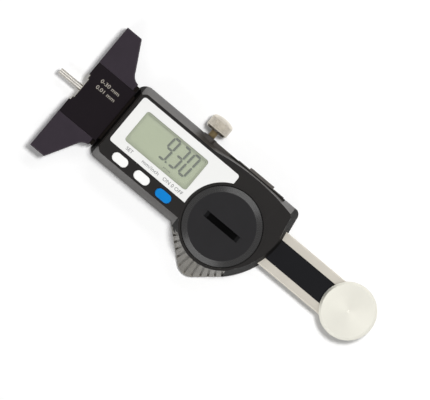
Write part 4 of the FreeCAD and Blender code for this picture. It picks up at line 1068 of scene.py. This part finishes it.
    def port_cover(self) -> bpy.types.Object:
        """Copy the port's sliding cover and cut grooves for the thumb across its grip.

        Returns:
            The finished cover.
        """
        piece = Workshop.copy_of_node("data_port_cover", "port_cover_ribbed")
        middle = (self.grip_low + self.grip_high) / 2
        for step in range(self.grip_grooves):
            x = self.grip_middle + (step - (self.grip_grooves - 1) / 2) * self.grip_pitch
            spot = (x, self.grip_face + self.grip_groove_out, middle)
            groove = Workshop.blank("cylinder", "groove", spot, vertices=16,
                                    radius=self.grip_groove_radius * MM, depth=self.grip_groove * MM)
            Workshop.cut(piece, groove)
        # Painted light: the grip is painted grey, for the light on its side.
        Workshop.dress(piece, PORT_GRIP_PAINTED_LIGHT)
        Workshop.soften(piece, self.grip_edge)
        return Workshop.fit(piece, "port_slide", "black_plastic", "data_port_cover")

    def build(self) -> None:
        """Build the housing's pieces in order."""
        self.front()
        self.back()
        SoftenedNode("display_panel", "panel_plate", "case", "white_panel", PANEL_WHITE,
                     self.panel_edge).build()
        SoftenedNode("display_window", "window_pane", "case", "clear", WINDOW_CLEAR,
                     self.window_edge).build()
        self.window_border()
        self.seam_shade_strip()
        ScrewGroup("case_screws", "case_screw_set", "case", self.screw_spots, self.ground,
                   self.screw_head, self.screw_shank, self.screw_length).build()
        self.battery_cap()
        self.port_cover()


@dataclass(frozen=True)
class Word:
    """A word, with its middle, the height of its capitals and the length it is stretched to."""

    name: str
    text: str
    spot: Point
    height: float
    width: float
    finish: Finish
    slot: str


@dataclass
class Display:
    """What the display shows, and the words printed on the panel and on the bridge's plate."""

    glass_top: float = 7.8
    panel_top: float = 9.4
    plate_top: float = 3.95
    digit_height: float = 10.1
    digit_width: float = 3.5
    bar: float = 0.86
    gap: float = 0.1
    lean: float = 0.075
    base: float = -1.4
    starts: tuple[float, ...] = (39.1, 43.95, 48.65)
    ink: float = 0.02
    point_radius: float = 0.4
    point_gap: float = 0.42
    shade_shift: tuple[float, float] = (0.34, -0.12)
    label_y: float = -6.2
    label_height: float = 1.35
    plate_x: float = 9.4
    plate_height: float = 1.5
    plate_width: float = 8.6

    SEGMENTS = {"0": "abcdef", "3": "abcdg", "9": "abcdfg"}

    def bar_piece(self, name: str, start: Vector, end: Vector, level: float) -> bpy.types.Object:
        """Make one segment: a thin bar with pointed ends.

        Args:
            name: name of the new piece.
            start: one end of its middle line, in the digit's own upright frame.
            end: the other end.
            level: height of its underside.

        Returns:
            The bar, not yet leaning.
        """
        length = (end - start).length - self.gap * 2
        middle = (start + end) / 2
        across = abs(end.x - start.x) > abs(end.y - start.y)
        scale = (length, self.bar, self.ink) if across else (self.bar, length, self.ink)
        piece = Workshop.blank("cube", name, (middle.x, middle.y, level + self.ink / 2), size=MM,
                               scale=scale)
        with Workshop.editing(piece):
            for side in (-1, 1):
                limit = (length / 2 - 0.01) * MM

                def at_end(face: Any, side: int = side, limit: float = limit) -> bool:
                    """Whether a face is one of the bar's ends."""
                    spot = face.calc_center_median() - middle * MM
                    return (spot.x if across else spot.y) * side > limit

                Workshop.pick(piece, "FACE", at_end)
                back = -side * self.bar / 2 * MM
                bpy.ops.transform.translate(value=(back, 0, 0) if across else (0, back, 0))
                point = (-back * 0.96, 0, 0) if across else (0, -back * 0.96, 0)
                bpy.ops.mesh.extrude_region_move(TRANSFORM_OT_translate={"value": point})
                small = (1, 0.08, 1) if across else (0.08, 1, 1)
                centre = middle + (end - start).normalized() * side * length / 2
                if (end - start).dot(Vector((1, 1, 0))) < 0:
                    centre = middle - (end - start).normalized() * side * length / 2
                bpy.ops.transform.resize(value=small, center_override=centre * MM)
        return piece

    def digit(self, figure: str, start: float, level: float) -> list[bpy.types.Object]:
        """Make the lit segments of one figure.

        Args:
            figure: the figure.
            start: X of its left edge.
            level: height of the segments.

        Returns:
            The segments.
        """
        half = self.bar / 2
        left, right = start + half, start + self.digit_width - half
        low, high = self.base + half, self.base + self.digit_height - half
        middle = (low + high) / 2
        lines = {
            "a": ((left, high), (right, high)), "b": ((right, middle), (right, high)),
            "c": ((right, low), (right, middle)), "d": ((left, low), (right, low)),
            "e": ((left, low), (left, middle)), "f": ((left, middle), (left, high)),
            "g": ((left, middle), (right, middle)),
        }
        made = []
        for letter in self.SEGMENTS[figure]:
            first, last = (Vector((x, y, 0)) for x, y in lines[letter])
            made.append(self.bar_piece(f"segment_{letter}", first, last, level))
        return made

    def reading(
        self,
        name: str,
        finish: Finish,
        level: float,
        shift: tuple[float, float] = (0.0, 0.0),
    ) -> bpy.types.Object:
        """Set the whole reading, with its point, and lean it.

        Args:
            name: name of the new piece.
            finish: its material.
            level: its height.
            shift: how far it is moved along X and Y.

        Returns:
            The finished reading.
        """
        made = []
        for figure, start in zip("930", self.starts):
            made += self.digit(figure, start, level)
        spot = (self.starts[0] + self.digit_width + self.point_gap, self.base + self.point_radius,
                level + self.ink / 2)
        point = Workshop.blank("cylinder", "point", spot, vertices=20,
                               radius=self.point_radius * MM, depth=self.ink * MM)
        piece = Workshop.join(made + [point], name)
        lean = Matrix.Identity(4)
        lean[0][1] = self.lean
        piece.data.transform(lean)
        Workshop.place(piece, (shift[0] - self.lean * self.base, shift[1], 0.0))
        Workshop.dress(piece, finish)
        return Workshop.fit(piece, "case", "display")

    def print_word(self, word: Word) -> bpy.types.Object:
        """Print a word.

        Args:
            word: the word, its place and its finish.

        Returns:
            The finished word.
        """
        bpy.ops.object.select_all(action="DESELECT")
        bpy.ops.object.text_add()
        piece = bpy.context.object
        piece.data.body = word.text
        piece.data.size = word.height / CAPITALS_SHARE * MM
        piece.data.extrude = self.ink / 2 * MM
        piece.data.resolution_u = 3
        bpy.ops.object.convert(target="MESH")
        piece = Workshop.named(bpy.context.object, word.name)
        spots = [vertex.co for vertex in piece.data.vertices]
        low = [min(co[axis] for co in spots) for axis in range(3)]
        high = [max(co[axis] for co in spots) for axis in range(3)]
        stretch = word.width * MM / (high[0] - low[0])
        middle = Vector([(least + most) / 2 for least, most in zip(low, high)])
        piece.data.transform(Matrix.Diagonal((stretch, 1, 1, 1)) @ Matrix.Translation(-middle))
        Workshop.place(piece, word.spot)
        Workshop.dress(piece, word.finish)
        return Workshop.fit(piece, "case", word.slot)

    def build(self) -> None:
        """Show the reading and print the words."""
        level = self.glass_top
        self.reading("reading_shade", SEGMENT_SHADE, level, self.shade_shift)
        self.reading("reading", SEGMENT, level + self.ink)
        words = [Word("unit_mark", "mm", (45.3, -3.1, level + self.ink), 0.95, 3.2, SEGMENT,
                      "display")]
        ink_level = self.panel_top + self.ink / 2
        for name, text, x, width in (("word_set", "SET", 30.0, 3.1),
                                     ("word_unit", "mm/inch", 40.1, 7.8),
                                     ("word_power", "ON 0 OFF", 50.9, 9.3)):
            words.append(Word(name, text, (x, self.label_y, ink_level), self.label_height, width,
                              INK, "white_panel"))
        ink_level = self.plate_top + self.ink / 2
        for name, text, y in (("word_range", "0-30 mm", 7.0), ("word_step", "0.01 mm", 4.2)):
            words.append(Word(name, text, (self.plate_x, y, ink_level), self.plate_height,
                              self.plate_width, PALE_INK, "black_anodised"))
        for word in words:
            self.print_word(word)


@dataclass
class Keys:
    """The three keys below the display."""

    edge: float = 0.05

    def build(self) -> None:
        """Build each key from its node."""
        for node, finish in (("preset", KEY_WHITE), ("unit", KEY_WHITE), ("power", KEY_BLUE)):
            slot = "blue_button" if node == "power" else "white_button"
            SoftenedNode(f"{node}_button", f"{node}_key_cap", f"{node}_key", slot, finish,
                         self.edge).build()


@dataclass
class Clamp:
    """The knurled clamping screw on the housing's side."""

    x: float = 50.0
    shank_start: float = 10.2
    head_start: float = 19.6
    head_end: float = 25.7
    head_radius: float = 4.7
    shank_radius: float = 1.45
    knurl_height: float = 0.26
    knurl_rows: int = 6
    flats: int = 42
    edge: float = 0.7
    dome: float = 0.8
    thread_pitch: float = 0.5
    thread_depth: float = 0.16
    thread_gap: float = 2.6
    tip_bevel: float = 0.2

    def head_profile(self) -> list[tuple[float, float]]:
        """Points of the head's half section, from its underside to the top of the dome.

        Returns:
            Radius and height of each point.
        """
        radius = self.head_radius - self.knurl_height
        low, high = self.head_start + self.edge, self.head_end - self.dome - self.edge
        rows = [(radius, low + (high - low) * row / self.knurl_rows)
                for row in range(self.knurl_rows + 1)]
        crown = [(self.head_radius - self.edge) * share for share in (1.0, 0.93, 0.8, 0.6, 0.3)]
        widest = crown[0]
        dome = [(spot, self.head_end - self.dome * (spot / widest) ** 2.4) for spot in crown]
        return ([(self.shank_radius, self.head_start), (radius - self.edge * 0.9, self.head_start),
                 (radius - self.edge * 0.25, low - self.edge * 0.35)] + rows
                + [(radius - self.edge * 0.2, high + self.edge * 0.45)] + dome
                + [(0.0, self.head_end)])

    def build(self) -> None:
        """Turn the screw, knurl its head and dress it."""
        bevel = self.tip_bevel
        shank = [(0.0, self.shank_start), (self.shank_radius - bevel, self.shank_start),
                 (self.shank_radius, self.shank_start + bevel)]
        threads = []
        spot = self.shank_start + 0.6
        while spot < self.head_start - self.thread_gap:
            threads += [(self.shank_radius, spot),
                        (self.shank_radius - self.thread_depth, spot + self.thread_pitch / 2)]
            spot += self.thread_pitch
        piece = Workshop.lathe("clamp_screw_knurled", shank + threads + [(self.shank_radius, spot)]
                               + self.head_profile(), steps=self.flats)
        low, high = self.head_start + self.edge, self.head_end - self.dome - self.edge
        Workshop.dress(piece, NICKEL, SHANK)
        with Workshop.editing(piece):
            Workshop.pick(piece, "FACE", lambda face: low < middle_of(face).z < high)
            bpy.ops.mesh.poke(offset=self.knurl_height * MM)
        Workshop.paint(piece, 1, lambda face: middle_of(face).z < self.head_start)
        Workshop.place(piece, (self.x, 0.0, 0.0), (-90.0, 0.0, 0.0))
        Workshop.smooth(piece, angle_deg=22.0)
        Workshop.fit(piece, "clamp_screw", "polished_steel", "lock_screw")


@dataclass
class Studio:
    """A pale floor, a soft box nearly overhead, one on each long side, and the camera above."""

    ground: float = -4.85
    floor_size: float = 4000.0
    floor_x: float = 60.0
    floor_gap: float = 0.02
    paper_colour: str = "#f6f6f6"
    fibre_scale: float = 900.0
    fibre_relief: float = 0.01
    light_size: float = 0.15
    light_distance: float = 0.85
    light_power: float = 5.45
    light_side: Point = (0.1, 0.25, 1.0)
    box_size: tuple[float, float] = (0.7, 0.2)
    box_power: float = 1.2
    box_side: Point = (0.0, 0.67, 0.74)
    day_strength: float = 0.13
    gloss_strength: float = 0.8
    white_strength: float = 1.0
    floor_glow: float = 0.1
    image_width: int = 430
    pixels_per_mm: float = 2.675
    turn_deg: float = 39.93
    distance: float = 2.6
    sensor: float = 36.0
    far_end: float = 20.0
    aim: Point = (66.33, -0.04, 3.0)

    def aimed(
        self,
        piece: bpy.types.Object,
        right: Vector,
        back: Vector,
        distance: float,
    ) -> bpy.types.Object:
        """Turn a lamp or camera to the tool and set it back from it.

        Args:
            piece: the lamp or camera.
            right: roughly the way its right side points.
            back: the way to it from the tool, one unit long.
            distance: how far off it is, in metres.

        Returns:
            The same lamp or camera.
        """
        right = (right - back * right.dot(back)).normalized()
        piece.matrix_world = Matrix((right, back.cross(right), back)).transposed().to_4x4()
        piece.location = Vector(self.aim) * MM + back * distance
        return piece

    @staticmethod
    def seen_white(tree: bpy.types.NodeTree, low: float, high: float) -> bpy.types.NodeSocket:
        """A strength that is higher for what the camera sees, also through glass.

        Args:
            tree: the tree it is made in.
            low: strength for the light on the object.
            high: strength for what is seen.

        Returns:
            The strength's socket.
        """
        path = add_node(tree, "ShaderNodeLightPath").outputs
        links = {0: path["Is Camera Ray"], 1: path["Is Transmission Ray"]}
        settings = {"operation": "ADD", "use_clamp": True}
        seen = add_node(tree, "ShaderNodeMath", settings, links).outputs[0]
        settings = {"To Min": low, "To Max": high}
        return add_node(tree, "ShaderNodeMapRange", settings, {"Value": seen}).outputs["Result"]

    def floor(self) -> None:
        """Lay the paper that the tool lies on."""
        piece = Workshop.blank("plane", "floor", (self.floor_x, 0.0, self.ground - self.floor_gap),
                               size=self.floor_size * MM)
        made = bpy.data.materials.new("white_paper_matt")
        tree = emptied(made)
        spot = add_node(tree, "ShaderNodeTexCoord").outputs["Object"]
        fibre = add_node(tree, "ShaderNodeTexNoise", {"Scale": self.fibre_scale}, {"Vector": spot})
        relief = add_node(tree, "ShaderNodeBump", {"Distance": self.fibre_relief * MM},
                          {"Height": fibre.outputs["Fac"]})
        settings = {"Base Color": linear(self.paper_colour), "Roughness": 0.9,
                    "Specular IOR Level": 0.1, "Emission Color": WHITE}
        links = {"Normal": relief.outputs["Normal"],
                 "Emission Strength": self.seen_white(tree, 0.0, self.floor_glow)}
        surface = add_node(tree, "ShaderNodeBsdfPrincipled", settings, links)
        add_node(tree, "ShaderNodeOutputMaterial", {}, {"Surface": surface.outputs["BSDF"]})
        piece.data.materials.append(made)

    def lamp(
        self,
        name: str,
        size: tuple[float, float],
        power: float,
        side: Point,
    ) -> bpy.types.Object:
        """Hang one soft box, facing the tool.

        Args:
            name: its name.
            size: its width along X and its depth, in metres.
            power: its power in watts.
            side: the way to it from the tool.

        Returns:
            The soft box.
        """
        lamp = bpy.data.lights.new(name, "AREA")
        lamp.shape = "RECTANGLE"
        lamp.size, lamp.size_y = size
        lamp.energy = power
        return self.aimed(new_object(name, lamp), Vector((1.0, 0.0, 0.0)),
                          Vector(side).normalized(), self.light_distance)

    def light(self) -> None:
        """Hang the main soft box and one on each long side, and light the room evenly."""
        small = (self.light_size, self.light_size)
        self.lamp("main_box", small, self.light_power, self.light_side).visible_glossy = False
        x, y, z = self.box_side
        self.lamp("left_box", self.box_size, self.box_power, (x, y, z))
        self.lamp("right_box", self.box_size, self.box_power, (x, -y, z))
        world = bpy.data.worlds.new("white_room")
        bpy.context.scene.world = world
        tree = emptied(world)
        gloss = add_node(tree, "ShaderNodeLightPath").outputs["Is Glossy Ray"]
        links = {0: gloss, 2: self.seen_white(tree, self.day_strength, self.white_strength)}
        strength = add_node(tree, "ShaderNodeMix", {3: self.gloss_strength}, links).outputs[0]
        sky = add_node(tree, "ShaderNodeBackground", {"Color": WHITE}, {"Strength": strength})
        add_node(tree, "ShaderNodeOutputWorld", {}, {"Surface": sky.outputs["Background"]})

    def camera(self) -> None:
        """Look straight down as the photograph does, from far off."""
        data = bpy.data.cameras.new("camera")
        width = self.image_width / self.pixels_per_mm * MM
        data.sensor_width = self.sensor
        data.lens = self.sensor * self.distance / width
        data.clip_end = self.far_end
        turn = math.radians(self.turn_deg)
        right = Vector((math.cos(turn), math.sin(turn), 0.0))
        bpy.context.scene.camera = self.aimed(new_object("camera", data), right,
                                              Vector((0.0, 0.0, 1.0)), self.distance)
        bpy.context.scene.view_settings.view_transform = "Standard"

    def build(self) -> None:
        """Set the stage."""
        self.floor()
        self.light()
        self.camera()


def dress_carried_nodes() -> None:
    """Give the CAD nodes that stay as they are their real materials."""
    for node, finish in CARRIED.items():
        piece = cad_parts[node]
        Workshop.dress(piece, finish)
        LOG.info("%s carried over as %s", node, finish.name)


def main() -> None:
    """Build the caliper's pieces in order, then the studio round them."""
    logging.basicConfig(level=logging.INFO, format="%(name)s: %(message)s")
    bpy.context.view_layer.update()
    dress_carried_nodes()
    for assembly in (Bridge(), Slider(), Housing(), Display(), Keys(), Clamp(), Studio()):
        assembly.build()
        LOG.info("%s done", type(assembly).__name__)


if __name__ == "__main__":
    main()
